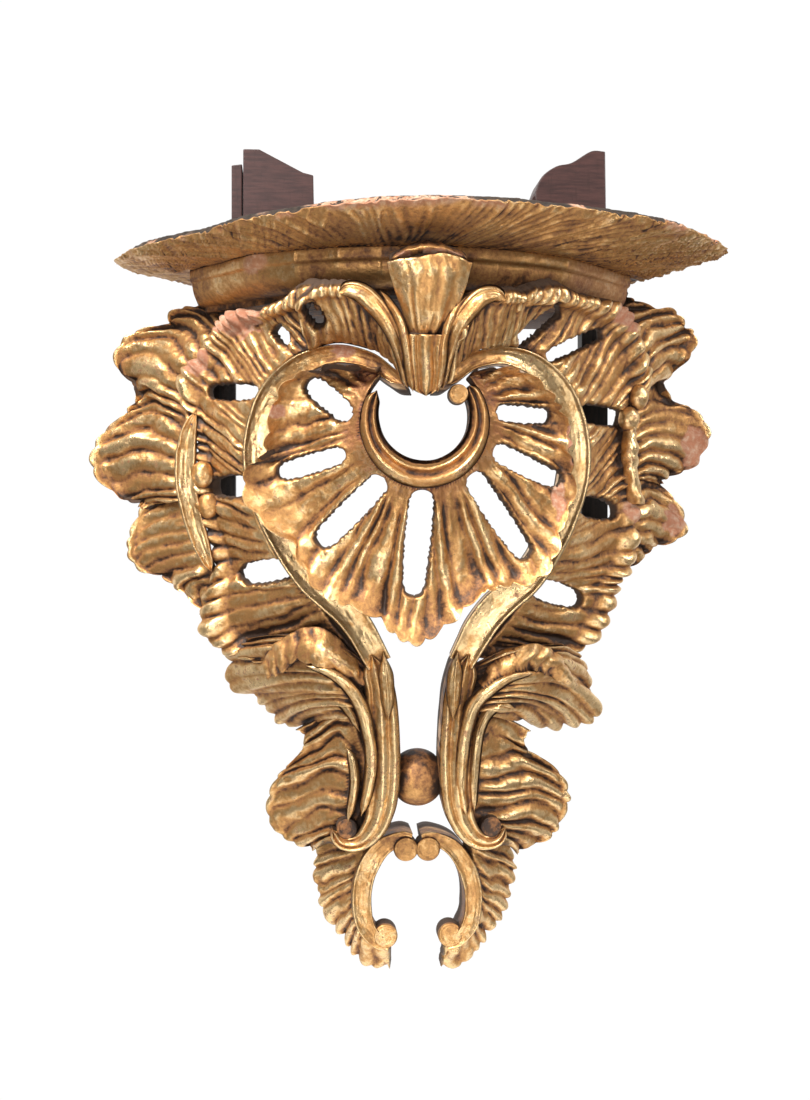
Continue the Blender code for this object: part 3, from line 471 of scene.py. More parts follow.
def piece(name, points, faces, fields, finish, node="carving"):
    """A shown object that stands for a CAD node, with its attributes and material."""
    mesh = bpy.data.meshes.new(name)
    vertices = to_metres(points).reshape(-1, 3)
    mesh.from_pydata(vertices.tolist(), [], faces)
    tool = bmesh.new()
    tool.from_mesh(mesh)
    loose = [vertex for vertex in tool.verts if not vertex.link_faces]
    bmesh.ops.delete(tool, geom=loose, context="VERTS")
    bmesh.ops.recalc_face_normals(tool, faces=tool.faces)
    if tool.calc_volume(signed=True) < 0:
        bmesh.ops.reverse_faces(tool, faces=tool.faces)
    layers = {key: tool.verts.layers.float.new(key) for key in fields}
    used = np.ones(len(vertices), dtype=bool)
    if loose:
        used[:] = False
        used[np.unique(np.concatenate([np.ravel(face) for face in faces]))] = True
    for key, layer in layers.items():
        for vertex, value in zip(tool.verts, np.ravel(fields[key]).astype(float)[used].tolist()):
            vertex[layer] = value
    tool.to_mesh(mesh)
    tool.free()
    mesh.shade_smooth()
    item = bpy.data.objects.new(name, mesh)
    bpy.context.scene.collection.objects.link(item)
    mesh.materials.append(finish)
    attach(item, "root")
    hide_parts(node)
    built.append(item)
    return item


def corners(net):
    """The four corners of every cell of a net, in their order round the cell."""
    return net[:-1, :-1], net[1:, :-1], net[1:, 1:], net[:-1, 1:]


def closed_net(shape):
    """Faces of a body whose net of points runs round it, with both edges and both ends closed."""
    number = np.arange(shape[0] * shape[1]).reshape(shape)
    faces = np.stack(corners(number), -1).reshape(-1, 4).tolist()
    ends = number[0].tolist() + number[-1].tolist()[::-1]
    return faces + [number[:, 0].tolist(), number[:, -1].tolist()[::-1], ends]


def closed_sheet(kept):
    """Faces of a sheet with the same net in front and behind, open where a cell isn't kept."""
    columns, rows = kept.shape[0] + 1, kept.shape[1] + 1
    number = np.arange(columns * rows).reshape(columns, rows)
    shift = number.size
    front = np.stack([corner[kept] for corner in corners(number)], 1)
    faces = [front, front[:, ::-1] + shift]
    padded = np.pad(kept, 1)
    for axis in (0, 1):
        here = padded[1:, 1:-1] if axis == 0 else padded[1:-1, 1:]
        before = padded[:-1, 1:-1] if axis == 0 else padded[1:-1, :-1]
        edge_i, edge_j = np.nonzero(here != before)
        first = number[edge_i, edge_j]
        second = number[edge_i, edge_j + 1] if axis == 0 else number[edge_i + 1, edge_j]
        faces.append(np.stack([first, second, second + shift, first + shift], 1))
    return np.concatenate(faces).tolist()


def boundary(kept):
    """Which points of a net lie on the edge of what is kept, and which belong to it at all."""
    around = np.stack(corners(np.pad(kept, 1)))
    return around.any(axis=0) & ~around.all(axis=0), around.any(axis=0)


def slot_distance(x, z, slots):
    """Distance from the nearest slot's notched outline in the plane of x and z, below 0 inside it."""
    nearest = np.full(np.shape(x), 1e3)
    for start_x, start_z, end_x, end_z, half_width in slots:
        run = np.array([end_x - start_x, end_z - start_z], dtype=float)
        length = np.hypot(*run)
        ahead = ((x - start_x) * run[0] + (z - start_z) * run[1]) / length ** 2
        share = np.clip(ahead, 0, 1)
        gap = np.hypot(x - start_x - run[0] * share, z - start_z - run[1] * share)
        turn = np.pi * ahead * length / SLOT_PITCH + 0.9 * np.sin(ahead * length * 0.37 + start_x)
        width = half_width * (0.82 + 0.18 * np.sin(np.pi * np.clip(share * 0.8 + 0.15, 0, 1)))
        nearest = np.minimum(nearest, gap - width - SLOT_NOTCH * (np.abs(np.sin(turn)) - 0.6))
    return nearest


def cut(front, back, slots):
    """Open slots in a sheet: drop the cells inside them and draw the points beside them to the outline."""
    a, b, c, d = corners(front)
    centre = (a + b + d + c) / 4
    if not slots:
        return np.ones(centre.shape[:2], dtype=bool)
    kept = slot_distance(centre[..., 0], centre[..., 1], slots) > 0
    edge = boundary(kept)[0]
    edge[0] = edge[-1] = edge[:, 0] = edge[:, -1] = False
    for _ in range(2):
        x, z = front[edge][:, 0], front[edge][:, 1]
        gap = slot_distance(x, z, slots)
        slope_x = (slot_distance(x + 0.1, z, slots) - gap) / 0.1
        slope_z = (slot_distance(x, z + 0.1, slots) - gap) / 0.1
        size = np.maximum(slope_x ** 2 + slope_z ** 2, 0.3)
        move = np.stack([-gap * slope_x / size, -gap * slope_z / size], 1)
        move *= np.minimum(1.0, 1.5 * CELL / np.maximum(np.hypot(move[:, 0], move[:, 1]), 1e-6))[:, None]
        for net in (front, back):
            points = net[edge]
            points[:, :2] += move
            net[edge] = points
            points[:, 2] = blurred(net, 2)[edge][:, 2]
            net[edge] = points
    return kept


def edge_gap(front, kept, reach):
    """Distance of each point of a sheet from its nearest free edge, up to a reach."""
    edge, near = boundary(kept)
    tree = KDTree(int(edge.sum()))
    for number, point in enumerate(front[edge].tolist()):
        tree.insert(point, number)
    tree.balance()
    grown = edge.copy()
    for _ in range(int(math.ceil(reach / CELL)) + 3):
        wide = np.pad(grown, 1)
        grown = wide[:-2, 1:-1] | wide[2:, 1:-1] | wide[1:-1, :-2] | wide[1:-1, 2:] | grown
    near &= grown
    gap = np.full(front.shape[:2], reach)
    gap[near] = [min(reach, tree.find(point)[2]) for point in front[near].tolist()]
    gap[edge] = 0.0
    return gap


def rounding(gap, radius):
    """How far a surface drops beside an edge rounded to a radius."""
    inside = np.clip(radius - gap, 0, radius)
    return radius - np.sqrt(np.maximum(radius ** 2 - inside ** 2, 0))


def uneven(ribs, share, seed):
    """Place along a panel counted in ribs whose widths differ by up to a half."""
    width = 1 + 0.5 * np.random.default_rng(seed).uniform(-1, 1, ribs)
    edges = np.concatenate([[0], np.cumsum(width)]) / width.sum()
    return np.interp(share, edges, np.arange(ribs + 1))


def valleys(steps, splits):
    """How deep the notches between an edge's lobes are at each step along it, from 0 to 1."""
    if not splits:
        return np.zeros(len(steps))
    order = np.interp(steps, splits, np.arange(len(splits)))
    valley = 1 - np.abs(np.sin(np.pi * order)) ** 0.55
    return valley * smooth(0.0, 0.02, steps) * smooth(1.0, 0.98, steps)


def both_faces(front, behind):
    """A value for every point of a sheet: an array in front and one number behind."""
    return np.concatenate([front.ravel(), np.full(front.size, behind)])


def panel(name, rails, ribs, depth, thick, finish, seed, *, sharp=0.8, start=0.0, grow=0.25, lobe=2.0,
          curl=0.0, curl_from=0.75, hollow=0.0, roll=0.0, roll_from=0.74, ruffle=0.0, bow=0.0, slant=0.0,
          lip=0.0, round_to=2.4, rough=0.3, slots=(), splits=(), notch=7.0, swell=4.0, bare=(), red=None,
          dark=0.0, shade=None, cell=CELL):
    """A carved sheet whose ribs run from the first rail to the last one.

    depth is the height of the ribs, lobe how far each pushes out the far edge, curl how far that edge
    turns forward, hollow how deep the sheet is dished and roll how high the roll along its edge stands.
    splits are the shares along the edge at which it is notched into lobes; each lobe swells between them.
    """
    longest = max(measured(rail)[1][-1] for rail in rails)
    steps = stepped(longest, cell) / longest
    lines = [at_shares(rail, steps) for rail in rails]
    width = np.linalg.norm(lines[-1] - lines[0], axis=1).max() * 1.05
    share = stepped(width, cell) / width
    base = across(lines, share)
    shape = base.shape[:2]
    normal = unit(blurred(normals(base), 2))
    normal *= np.sign(normal[..., 2].mean())
    far = share[None, :]
    place = uneven(ribs, steps, seed)[:, None] + 0.34 * noise(shape, (ribs / 3, 3), seed + 1)
    place = place + 0.12 * noise(shape, (ribs, 7), seed + 7)
    place = place + bow * 4 * far * (1 - far) + slant * far
    crest = np.abs(np.sin(np.pi * place)) ** sharp
    strengths = np.random.default_rng(seed + 2).uniform(0.4, 1.25, ribs + 40)
    each = strengths[np.clip(np.floor(place).astype(int) + 8, 0, ribs + 30)]
    strength = each * smooth(start, start + grow, far) * (1 + 0.35 * noise(shape, (ribs / 2, 3), seed + 8))
    valley = valleys(steps, splits)[:, None]
    outward = unit(base[:, -1:] - base[:, -3:-2])
    push = lobe * (crest - 0.55) + 1.9 * noise(shape, (0.55 * ribs + 1, 2), seed + 3) - notch * valley
    base = base + outward * (push * smooth(1 - 16.0 / width, 1.0, far) ** 1.5)[..., None]
    border = lip * smooth(1 - 9.0 / width, 1 - 5.0 / width, far)
    fade = np.sign(lip) * smooth(1 - 11.0 / width, 1 - 6.0 / width, far)
    rise = depth * crest * strength * (1 - 0.5 * fade)
    rise += border * (0.7 + 0.5 * noise(shape, (ribs, 2), seed + 11))
    rise += 0.4 * noise(shape, (4 * ribs, 5), seed + 10) * smooth(0.05, 0.2, far)
    rise -= swell * valley * smooth(0.25, 0.9, far)
    bead = np.sin(np.pi * np.clip((far - roll_from) / (1.02 - roll_from), 0, 1))
    rise += roll * bead * (0.45 + 0.55 * crest)
    rise += ruffle * smooth(0.7, 1.0, far) * np.sin(np.pi * place * 0.5)
    rise += rough * grainy(shape, 4, seed + 4)
    rise += 2.4 * rough * grainy(shape, 12, seed + 5)
    rise += 2.2 * grainy(shape, 34, seed + 9)
    lift = curl * np.clip((far - curl_from) / (1 - curl_from), 0, 1) ** 2 - hollow * 4 * far * (1 - far)
    front = base + normal * rise[..., None]
    front[..., 2] += lift
    back = base - normal * (thick - 0.35 * depth * crest * strength)[..., None]
    back[..., 2] += lift
    kept = cut(front, back, slots)
    gap = edge_gap(front, kept, round_to)
    drop = rounding(gap, round_to)
    front -= normal * drop[..., None]
    back += normal * np.minimum(drop, thick / 3)[..., None]
    raised = normals(front)
    raised *= np.sign((raised * normal).sum(-1).mean())
    worn = spots(front[..., 0], front[..., 1], bare, shape, seed + 6)
    front -= raised * (worn * 0.6)[..., None]
    x, z = front[..., 0], front[..., 1]
    scale = 1.3 / cell
    small = relief(front, raised, max(1, round(2 * scale)))
    large = relief(front, raised, max(2, round(6 * scale)))
    # Painted light and shade: dark and shade lower the whole sheet's tone, or raise it where they are below
    # zero.
    height = np.clip(small / 0.55, -1, 1) * 0.45 + np.clip(large / 1.6, -1, 1) * 0.65 - dark
    if shade is not None:
        height -= shade(x, z)
    reddened = np.zeros(shape) if red is None else red(x, z, shape)
    fields = {
        "crest": both_faces(height, -0.6),
        "bare": both_faces(worn, 0),
        "red": both_faces(reddened, 0),
        "rim": both_faces(np.clip(1 - gap / round_to, 0, 1), 1),
        "back": both_faces(np.zeros(shape), 1),
    }
    piece(name, np.stack([front, back]), closed_sheet(kept), fields, finish)


def tube_faces(count, size):
    """Faces of a closed body through rings of points."""
    ring = np.arange(size)
    after = (ring + 1) % size
    start = (np.arange(count - 1) * size)[:, None]
    faces = np.stack([start + ring, start + after, start + size + after, start + size + ring], -1)
    last = (count - 1) * size
    return faces.reshape(-1, 4).tolist() + [list(range(size))[::-1], list(range(last, last + size))]


def section(heights, depth):
    """A closed section from a front profile: (share of the width, height), and a back at a depth."""
    keys = np.asarray(heights, dtype=float)
    count = 44
    place = np.linspace(-0.5, 0.5, count)
    wide = np.pad(np.interp(place, keys[:, 0], keys[:, 1]), 2, mode="edge")
    front = (wide[:-4] + 2 * wide[1:-3] + 3 * wide[2:-2] + 2 * wide[3:-1] + wide[4:]) / 9
    front[[0, -1]] -= 0.5
    side = [(0.5, -1.0), (0.5, -2.0), (0.5, -depth * 0.35), (0.5, -depth * 0.7), (0.46, -depth),
            (0.2, -depth)]
    other = [(-x, low) for x, low in side[::-1]]
    return np.vstack([np.column_stack([place, front]), side, other]), count


def scroll(name, path, heights, depth, finish, seed, *, rough=0.25, bare=(), taper=(0.0, 0.0), flip=False,
           dark=0.0):
    """A band along a path of (x, z, out, width), with a moulded front."""
    fine, length = measured(path)
    steps = stepped(length[-1])
    line = along(path, np.interp(steps, length, fine))
    profile, count = section(heights, depth)
    if flip:
        profile = profile * (-1, 1)
    tangent = unit(np.gradient(line[:, :3], axis=0))
    face = unit(np.array([0.0, 0.0, 1.0]) - tangent * tangent[:, 2:])
    side = np.cross(tangent, face)
    narrowing = np.ones(len(steps))
    for reach, distance in zip(taper, (steps, length[-1] - steps)):
        if reach:
            narrowing = narrowing * smooth(0, reach, distance)
    width = line[:, 3] * (1 + 0.03 * wander(len(line), length[-1] // 12, seed))
    width = width * np.sqrt(np.clip(narrowing, 0.02, 1))
    shape = (len(line), len(profile))
    high = profile[None, :, 1] + rough * grainy(shape, 5, seed + 1)
    net = (line[:, None, :3] + side[:, None] * (profile[None, :, 0] * width[:, None])[..., None]
           + face[:, None] * high[..., None])
    front = net[:, :count]
    raised = normals(front)
    raised *= np.sign((raised * face[:, None]).sum(-1).mean())
    # Painted light and shade: dark lowers the whole band's tone, or raises it below zero.
    height = np.full(shape, -1.0 - dark)
    height[:, :count] = np.clip(relief(front, raised, 2) / 0.5, -1, 1) * 0.7 + 0.25 - dark
    rim, behind = np.zeros(shape), np.zeros(shape)
    rim[:, (0, 1, count - 2, count - 1)] = 1
    behind[:, count + 4:count + 8] = 1
    behind[:, (count + 3, count + 8)] = 0.6
    worn = spots(net[..., 0], net[..., 1], bare, shape, seed + 2)
    fields = {"crest": height, "bare": worn, "rim": rim, "back": behind}
    piece(name, net, tube_faces(*shape), fields, finish)


# Materials

def put(nodes, kind, **values):
    """A shader node with its inputs set by name or number."""
    node = nodes.new(kind)
    for key, value in values.items():
        if key.startswith("in_"):
            socket = int(key[3:]) if key[3:].isdigit() else key[3:].replace("_", " ")
            node.inputs[socket].default_value = value
        else:
            setattr(node, key, value)
    return node


def math_node(tree, operation, first, second, clamp=False):
    """A math node fed by sockets or numbers."""
    node = tree.nodes.new("ShaderNodeMath")
    node.operation = operation
    node.use_clamp = clamp
    for slot, value in enumerate((first, second)):
        if isinstance(value, (int, float)):
            node.inputs[slot].default_value = value
        else:
            tree.links.new(value, node.inputs[slot])
    return node.outputs[0]


def chained(tree, operation, first, *rest):
    """One math operation over several sockets or numbers in turn."""
    for value in rest:
        first = math_node(tree, operation, first, value)
    return first


def mixed(tree, factor, first, second):
    """One colour over another, by a factor."""
    node = tree.nodes.new("ShaderNodeMix")
    node.data_type = "RGBA"
    if isinstance(factor, (int, float)):
        node.inputs[0].default_value = factor
    else:
        tree.links.new(factor, node.inputs[0])
    for slot, value in ((6, first), (7, second)):
        if isinstance(value, tuple):
            node.inputs[slot].default_value = (*value, 1.0)
        else:
            tree.links.new(value, node.inputs[slot])
    return node.outputs[2]


def ranged(tree, value, low, high, to_low=0.0, to_high=1.0):
    """A value carried from one range to another, softly."""
    node = tree.nodes.new("ShaderNodeMapRange")
    node.interpolation_type = "SMOOTHSTEP"
    tree.links.new(value, node.inputs["Value"])
    for key, number in (("From Min", low), ("From Max", high), ("To Min", to_low), ("To Max", to_high)):
        node.inputs[key].default_value = number
    return node.outputs[0]


def attribute(tree, name):
    """The value of a mesh attribute."""
    return put(tree.nodes, "ShaderNodeAttribute", attribute_name=name).outputs["Fac"]


def speckle(tree, scale, detail=3.0, roughness=0.6, stretch=None):
    """Noise in object space; scale is counted in waves a metre."""
    place = tree.nodes.new("ShaderNodeTexCoord").outputs["Object"]
    if stretch:
        mapping = put(tree.nodes, "ShaderNodeMapping", in_Scale=stretch)
        tree.links.new(place, mapping.inputs["Vector"])
        place = mapping.outputs[0]
    node = put(tree.nodes, "ShaderNodeTexNoise", in_Scale=scale, in_Detail=detail, in_Roughness=roughness)
    tree.links.new(place, node.inputs["Vector"])
    return node.outputs["Fac"]


def new_material(name):
    """A material with its node tree and its Principled shader."""
    finish = bpy.data.materials.new(name)
    finish.use_nodes = True
    return finish, finish.node_tree, finish.node_tree.nodes["Principled BSDF"]


def plain(tree, shader, colour, roughness):
    """Give a shader its colour and one roughness all over."""
    tree.links.new(colour, shader.inputs["Base Color"])
    shader.inputs["Roughness"].default_value = roughness


def bumped(tree, shader, parts):
    """Chain bumps of (height, strength, distance in metres) into the shader's normal."""
    normal = None
    for height, strength, distance in parts:
        bump = put(tree.nodes, "ShaderNodeBump", in_Strength=strength, in_Distance=distance)
        tree.links.new(height, bump.inputs["Height"])
        if normal is not None:
            tree.links.new(normal, bump.inputs["Normal"])
        normal = bump.outputs[0]
    tree.links.new(normal, shader.inputs["Normal"])


# The first gold below is a painted highlight, laid on the highest crests.
GOLD_PAINTED_HIGHLIGHT = (0.93, 0.65, 0.325)
GOLD = (0.62, 0.33, 0.118)
GOLD_BROWN = (0.275, 0.112, 0.036)
UMBER = (0.040, 0.019, 0.010)
BOLE = (0.27, 0.080, 0.035)
WOOD = (0.50, 0.215, 0.115)
GESSO = (0.66, 0.46, 0.32)
BACK_WOOD = (0.075, 0.042, 0.024)


def gilding(name, darkness=0.0, redness=0.0):
    """Worn water gilding over red bole, with umber patina and painted shade in the hollows, and a painted
    highlight on the highest crests. A darkness above zero paints shade over the whole copy, and one below
    zero paints light.
    """
    finish, tree, shader = new_material(name)
    keys = ("crest", "open", "bare", "rim", "red")
    crest, open_sky, bare, rim, red = (attribute(tree, key) for key in keys)
    behind = ranged(tree, attribute(tree, "back"), 0.05, 0.35)
    broad = speckle(tree, 38, 4, 0.6)
    fine = speckle(tree, 260, 4, 0.7)
    grit = speckle(tree, 1100, 2, 0.6)
    # Painted shade: the tone falls where the open attribute says other parts close round a point.
    tone = chained(tree, "ADD", chained(tree, "MULTIPLY", crest, 0.40),
                   ranged(tree, open_sky, 0.2, 0.85, -0.85, 0.12), ranged(tree, broad, 0.3, 0.7, -0.34, 0.30),
                   ranged(tree, fine, 0.3, 0.7, -0.24, 0.22), -darkness)
    # Hollows go to umber patina and painted shade; the highest crests take a painted highlight.
    colour = mixed(tree, ranged(tree, tone, -0.85, -0.30), UMBER, GOLD_BROWN)
    colour = mixed(tree, ranged(tree, tone, -0.50, 0.15), colour, GOLD)
    colour = mixed(tree, ranged(tree, tone, 0.05, 0.60), colour, GOLD_PAINTED_HIGHLIGHT)
    rubbed = chained(tree, "MULTIPLY", ranged(tree, fine, 0.50, 0.64), ranged(tree, tone, 0.2, 0.6),
                     ranged(tree, broad, 0.46, 0.62, 0.0, 0.8))
    rubbed = chained(tree, "ADD", rubbed, chained(tree, "MULTIPLY", red, ranged(tree, fine, 0.3, 0.55)))
    rubbed = math_node(tree, "ADD", rubbed, ranged(tree, fine, 0.4, 0.6, 0.0, redness), clamp=True)
    colour = mixed(tree, rubbed, colour, BOLE)
    pits = chained(tree, "MULTIPLY", ranged(tree, grit, 0.62, 0.7), ranged(tree, fine, 0.5, 0.6), 0.7)
    colour = mixed(tree, pits, colour, UMBER)
    edge_dark = chained(tree, "MULTIPLY", ranged(tree, rim, 0.45, 1.0),
                        ranged(tree, fine, 0.35, 0.6, 0.45, 1.0), 0.85)
    colour = mixed(tree, edge_dark, colour, UMBER)
    wood = mixed(tree, ranged(tree, fine, 0.4, 0.75), WOOD, GESSO)
    wood = mixed(tree, ranged(tree, broad, 0.4, 0.65, 0.0, 0.4), wood, BOLE)
    colour = mixed(tree, behind, mixed(tree, bare, colour, wood), BACK_WOOD)
    tree.links.new(colour, shader.inputs["Base Color"])
    covered = (math_node(tree, "SUBTRACT", 1.0, share, clamp=True) for share in (bare, behind))
    leaf = chained(tree, "MULTIPLY", ranged(tree, tone, -0.5, 0.1, 0.2, 0.9), *covered,
                   ranged(tree, rubbed, 0.0, 1.0, 1.0, 0.4))
    tree.links.new(leaf, shader.inputs["Metallic"])
    rough = (chained(tree, "MULTIPLY", share, 0.3) for share in (bare, behind))
    gloss = chained(tree, "ADD", ranged(tree, tone, -0.4, 0.5, 0.56, 0.30),
                    ranged(tree, fine, 0.3, 0.7, -0.05, 0.09), *rough)
    tree.links.new(gloss, shader.inputs["Roughness"])
    bumped(tree, shader, ((broad, 0.4, 0.003), (fine, 0.6, 0.0009), (grit, 0.3, 0.0003)))
    return finish


def painted_board():
    """Dark old paint on the shelf's top and edge, chipped down to pale ground."""
    finish, tree, shader = new_material("painted_board")
    fine = speckle(tree, 220, 4, 0.7)
    chips = speckle(tree, 130, 3, 0.7)
    colour = mixed(tree, ranged(tree, fine, 0.3, 0.7), (0.022, 0.017, 0.013), (0.060, 0.040, 0.028))
    chipped = math_node(tree, "MULTIPLY", attribute(tree, "bare"), ranged(tree, chips, 0.42, 0.52))
    colour = mixed(tree, chipped, colour, mixed(tree, ranged(tree, fine, 0.35, 0.65), WOOD, GESSO))
    plain(tree, shader, colour, 0.75)
    shader.inputs["Specular IOR Level"].default_value = 0.25
    bumped(tree, shader, ((fine, 0.3, 0.0006), (chips, 0.35, 0.0012)))
    return finish


def mahogany():
    """Reddish brown mahogany with a fine straight grain."""
    finish, tree, shader = new_material("mahogany_grain")
    grain = speckle(tree, 60, 5, 0.65, stretch=(1.0, 1.0, 9.0))
    pores = speckle(tree, 420, 3, 0.6, stretch=(1.0, 1.0, 0.1))
    colour = mixed(tree, ranged(tree, grain, 0.3, 0.7), (0.034, 0.013, 0.011), (0.070, 0.027, 0.022))
    colour = mixed(tree, ranged(tree, pores, 0.55, 0.7, 0.0, 0.5), colour, (0.03, 0.012, 0.009))
    plain(tree, shader, colour, 0.42)
    bumped(tree, shader, ((grain, 0.12, 0.001), (pores, 0.15, 0.0003)))
    return finish


def dark_wood():
    """Nearly black stained wood."""
    finish, tree, shader = new_material("dark_wood_grain")
    grain = speckle(tree, 50, 5, 0.65, stretch=(8.0, 8.0, 1.0))
    colour = mixed(tree, ranged(tree, grain, 0.3, 0.7), (0.010, 0.009, 0.009), (0.040, 0.030, 0.024))
    plain(tree, shader, colour, 0.6)
    bumped(tree, shader, ((grain, 0.25, 0.001),))
    return finish


# Copies of the gilding with painted shade or painted light over the whole piece: darker for the ball, the
# leaf crests, the palmette's cap and the shelf's underside, lighter for the heart, the left strip, the leaf
# lines, the sheaths and their tongues. The sheath volutes' copy is darkened nearly to umber all over.
gold = gilding("gilding")
gold_painted_shade = gilding("gilding_painted_shade", 0.3)
gold_painted_deep_shade = gilding("gilding_painted_deep_shade", 0.42)
gold_red = gilding("gilding_red", 0.05, 0.14)
gold_painted_light = gilding("gilding_painted_light", -0.3)
gold_shelf_painted_shade = gilding("gilding_shelf_painted_shade", 0.14)
volute_brown = gilding("gilding_brown", 0.8)
board = painted_board()
reddish = mahogany()
blackish = dark_wood()


# Shelf, frieze, uprights and blocks

def shelf_top(ring, outward, lip, drop):
    """Rows of points over the shelf's broken edge and in to the middle of its top."""
    count = len(ring)
    rows = []
    for inset, up in ((0.0, 0.6), (1.8, 1.1), (4.0, 1.7), (6.5, 3.0), (8.5, 5.0)):
        ragged = 1.2 * wander(count, SHELF_FLUTES * 2, 20 + int(up))
        row = ring - outward * (inset + 0.4 * ragged)[:, None]
        level = np.minimum(lip + up, SHELF_TOP - drop - 0.3)
        rows.append(np.column_stack([row[:, 0], level, row[:, 1]]))
    line = ring - outward * 10.0
    rows.append(np.column_stack([line[:, 0], np.full(count, SHELF_TOP) - drop * 0.6, line[:, 1]]))
    rows.append(np.column_stack([ring[:, 0] * 0.9, np.full(count, SHELF_TOP), ring[:, 1] * 0.9]))
    top = np.stack(rows, axis=1)
    top[..., 2] = np.maximum(top[..., 2], 0.0)
    return top


def shelf():
    """The board with its flat top and its fluted, flaring underside."""
    rim_line = [(x, out, 0.0) for x, out in SHELF_PLAN]
    length = measured(rim_line)[1][-1]
    steps = stepped(length) / length
    plan = at_shares(rim_line, steps)[:, :2]
    foot_line = np.array([(x, out, 0.0) for x, out in frieze_plan(0.0)])
    fine, length = measured(foot_line)
    place = np.interp(steps * length[-1], length, fine)
    foot = np.column_stack([np.interp(place, np.arange(len(foot_line)), foot_line[:, k]) for k in (0, 1)])
    count = len(plan)
    ragged = wander(count, SHELF_FLUTES, 11) * 1.3 + wander(count, SHELF_FLUTES // 4, 12) * 1.2
    outward = unit(plan - foot)
    share = np.concatenate([np.linspace(0, 0.94, 40), [0.96, 0.975, 0.99, 1.0]])
    shape = (count, len(share))
    s = share[None, :]
    spread = steps[:, None] - 0.5
    place = SHELF_FLUTES * (0.5 + spread * (1 + FLUTE_FAN * (1 - s)))
    place = place + 0.5 * noise(shape, (SHELF_FLUTES // 2, 3), 13)
    place += 0.8 * wander(count, SHELF_FLUTES // 3, 16)[:, None]
    wave = np.abs(np.sin(np.pi * place)) ** 0.8
    numbers = np.clip(place.astype(int) + SHELF_FLUTES, 0, 3 * SHELF_FLUTES)
    each = np.random.default_rng(14).uniform(0.1, 1.25, 3 * SHELF_FLUTES + 1)[numbers]
    drop = RIM_DROP_LEFT * np.clip(-plan[:, 0] / RIM_DROP_REACH, 0, 1) ** 2
    ends = smooth(0.36, 0.5, np.abs(spread))
    flare = s ** SHELF_FLARE * (1 - ends) + s * ends
    height = FRIEZE_TOP + 0.3 + (SHELF_TOP - SHELF_EDGE - FRIEZE_TOP) * flare - drop[:, None] * s ** 2
    deeper = 2.0 + 0.9 * smooth(0.5, 0.75, steps)[:, None]
    depth = deeper * each * wave * (0.35 + 0.65 * smooth(0.0, 0.3, s)) * (1 - 0.5 * ends)
    height = height - depth + 0.5 * noise(shape, (count // 9, 4), 15)
    height += 1.3 * smooth(0.93, 1.0, s)
    ring = plan + outward * (ragged - 1.6 + 1.2 * wave[:, -1])[:, None]
    flat = foot[:, None] * (1 - s[..., None]) + ring[:, None] * s[..., None]
    under = np.dstack([flat[..., 0], height, flat[..., 1]])
    net = np.concatenate([under, shelf_top(ring, outward, height[:, -1], drop)], axis=1)
    net[0, :, 2] = net[-1, :, 2] = 0.0
    shape = net.shape[:2]
    normal = normals(net)
    normal *= -np.sign(normal[:, :len(share), 1].mean())
    crest = np.clip(relief(net, normal, 2) / 0.5, -1, 1) * 0.6
    crest[:, len(share):] = 0.1
    chipped = smooth(0.34, 0.42, steps) * smooth(0.6, 0.52, steps)
    chips = smooth(0.15, 0.35, noise(shape, (count // 14, 3), 31) + 0.5 * chipped[:, None])
    chips = chips * smooth(0.9, 1.0, np.concatenate([share, np.ones(shape[1] - len(share) - 2), (0, 0)]))
    fields = {"crest": crest, "bare": chips * 0.9}
    item = piece("shelf_board", net, closed_net(shape), fields, gold_shelf_painted_shade, "shelf")
    item.data.materials.append(board)
    golden = np.zeros((count - 1, shape[1] - 1), dtype=bool)
    golden[:, :len(share) + 1] = True
    for polygon, is_gold in zip(item.data.polygons, golden.ravel().tolist() + [False] * 3):
        polygon.material_index = 0 if is_gold else 1


def frieze_plan(inset):
    """Plan of the frieze from the left of the wall round to the right, set back by an inset."""
    cant_x = FRIEZE_HALF_WIDTH - FRIEZE_END_INSET * inset
    middle = FRIEZE_CORNER[LEFT][1] + FRIEZE_BOW
    halves = []
    for side, (corner_x, corner_out) in FRIEZE_CORNER.items():
        half = [(corner_x * share, corner_out + (middle - corner_out) * (1 - share * share) - inset)
                for share in (0.0, 0.25, 0.5, 0.75)]
        half += [(corner_x - inset * 0.8, corner_out - inset), (cant_x, FRIEZE_END_DEPTH - 0.4 * inset),
                 (cant_x, 0.0)]
        halves.append([(side * x, out) for x, out in half])
    return halves[0][::-1] + halves[1][1:]


def frieze_levels():
    """Heights of the frieze's rows from the top down, each with how far it is set back."""
    cove_top = FRIEZE_TOP - FILLET - FILLET_STEP
    levels = [(FRIEZE_TOP, 0.6), (FRIEZE_TOP - 0.5, 0.15), (FRIEZE_TOP - 1.2, 0.0)]
    levels += [(FRIEZE_TOP - FILLET * share, 0.0) for share in (0.35, 0.6, 0.85)]
    levels += [(FRIEZE_TOP - FILLET, 0.5), (cove_top + 0.6, 2.4), (cove_top, FILLET_SETBACK)]
    drop = cove_top - FRIEZE_BOTTOM - FILLET_SETBACK
    for turn in np.linspace(0, math.pi / 2, 14)[1:]:
        levels.append((cove_top - drop * math.sin(turn),
                       FILLET_SETBACK + (COVE_DEPTH - FILLET_SETBACK) * (1 - math.cos(turn))))
    return levels + [(FRIEZE_BOTTOM + 0.8, COVE_DEPTH), (FRIEZE_BOTTOM, COVE_DEPTH + 0.8)]


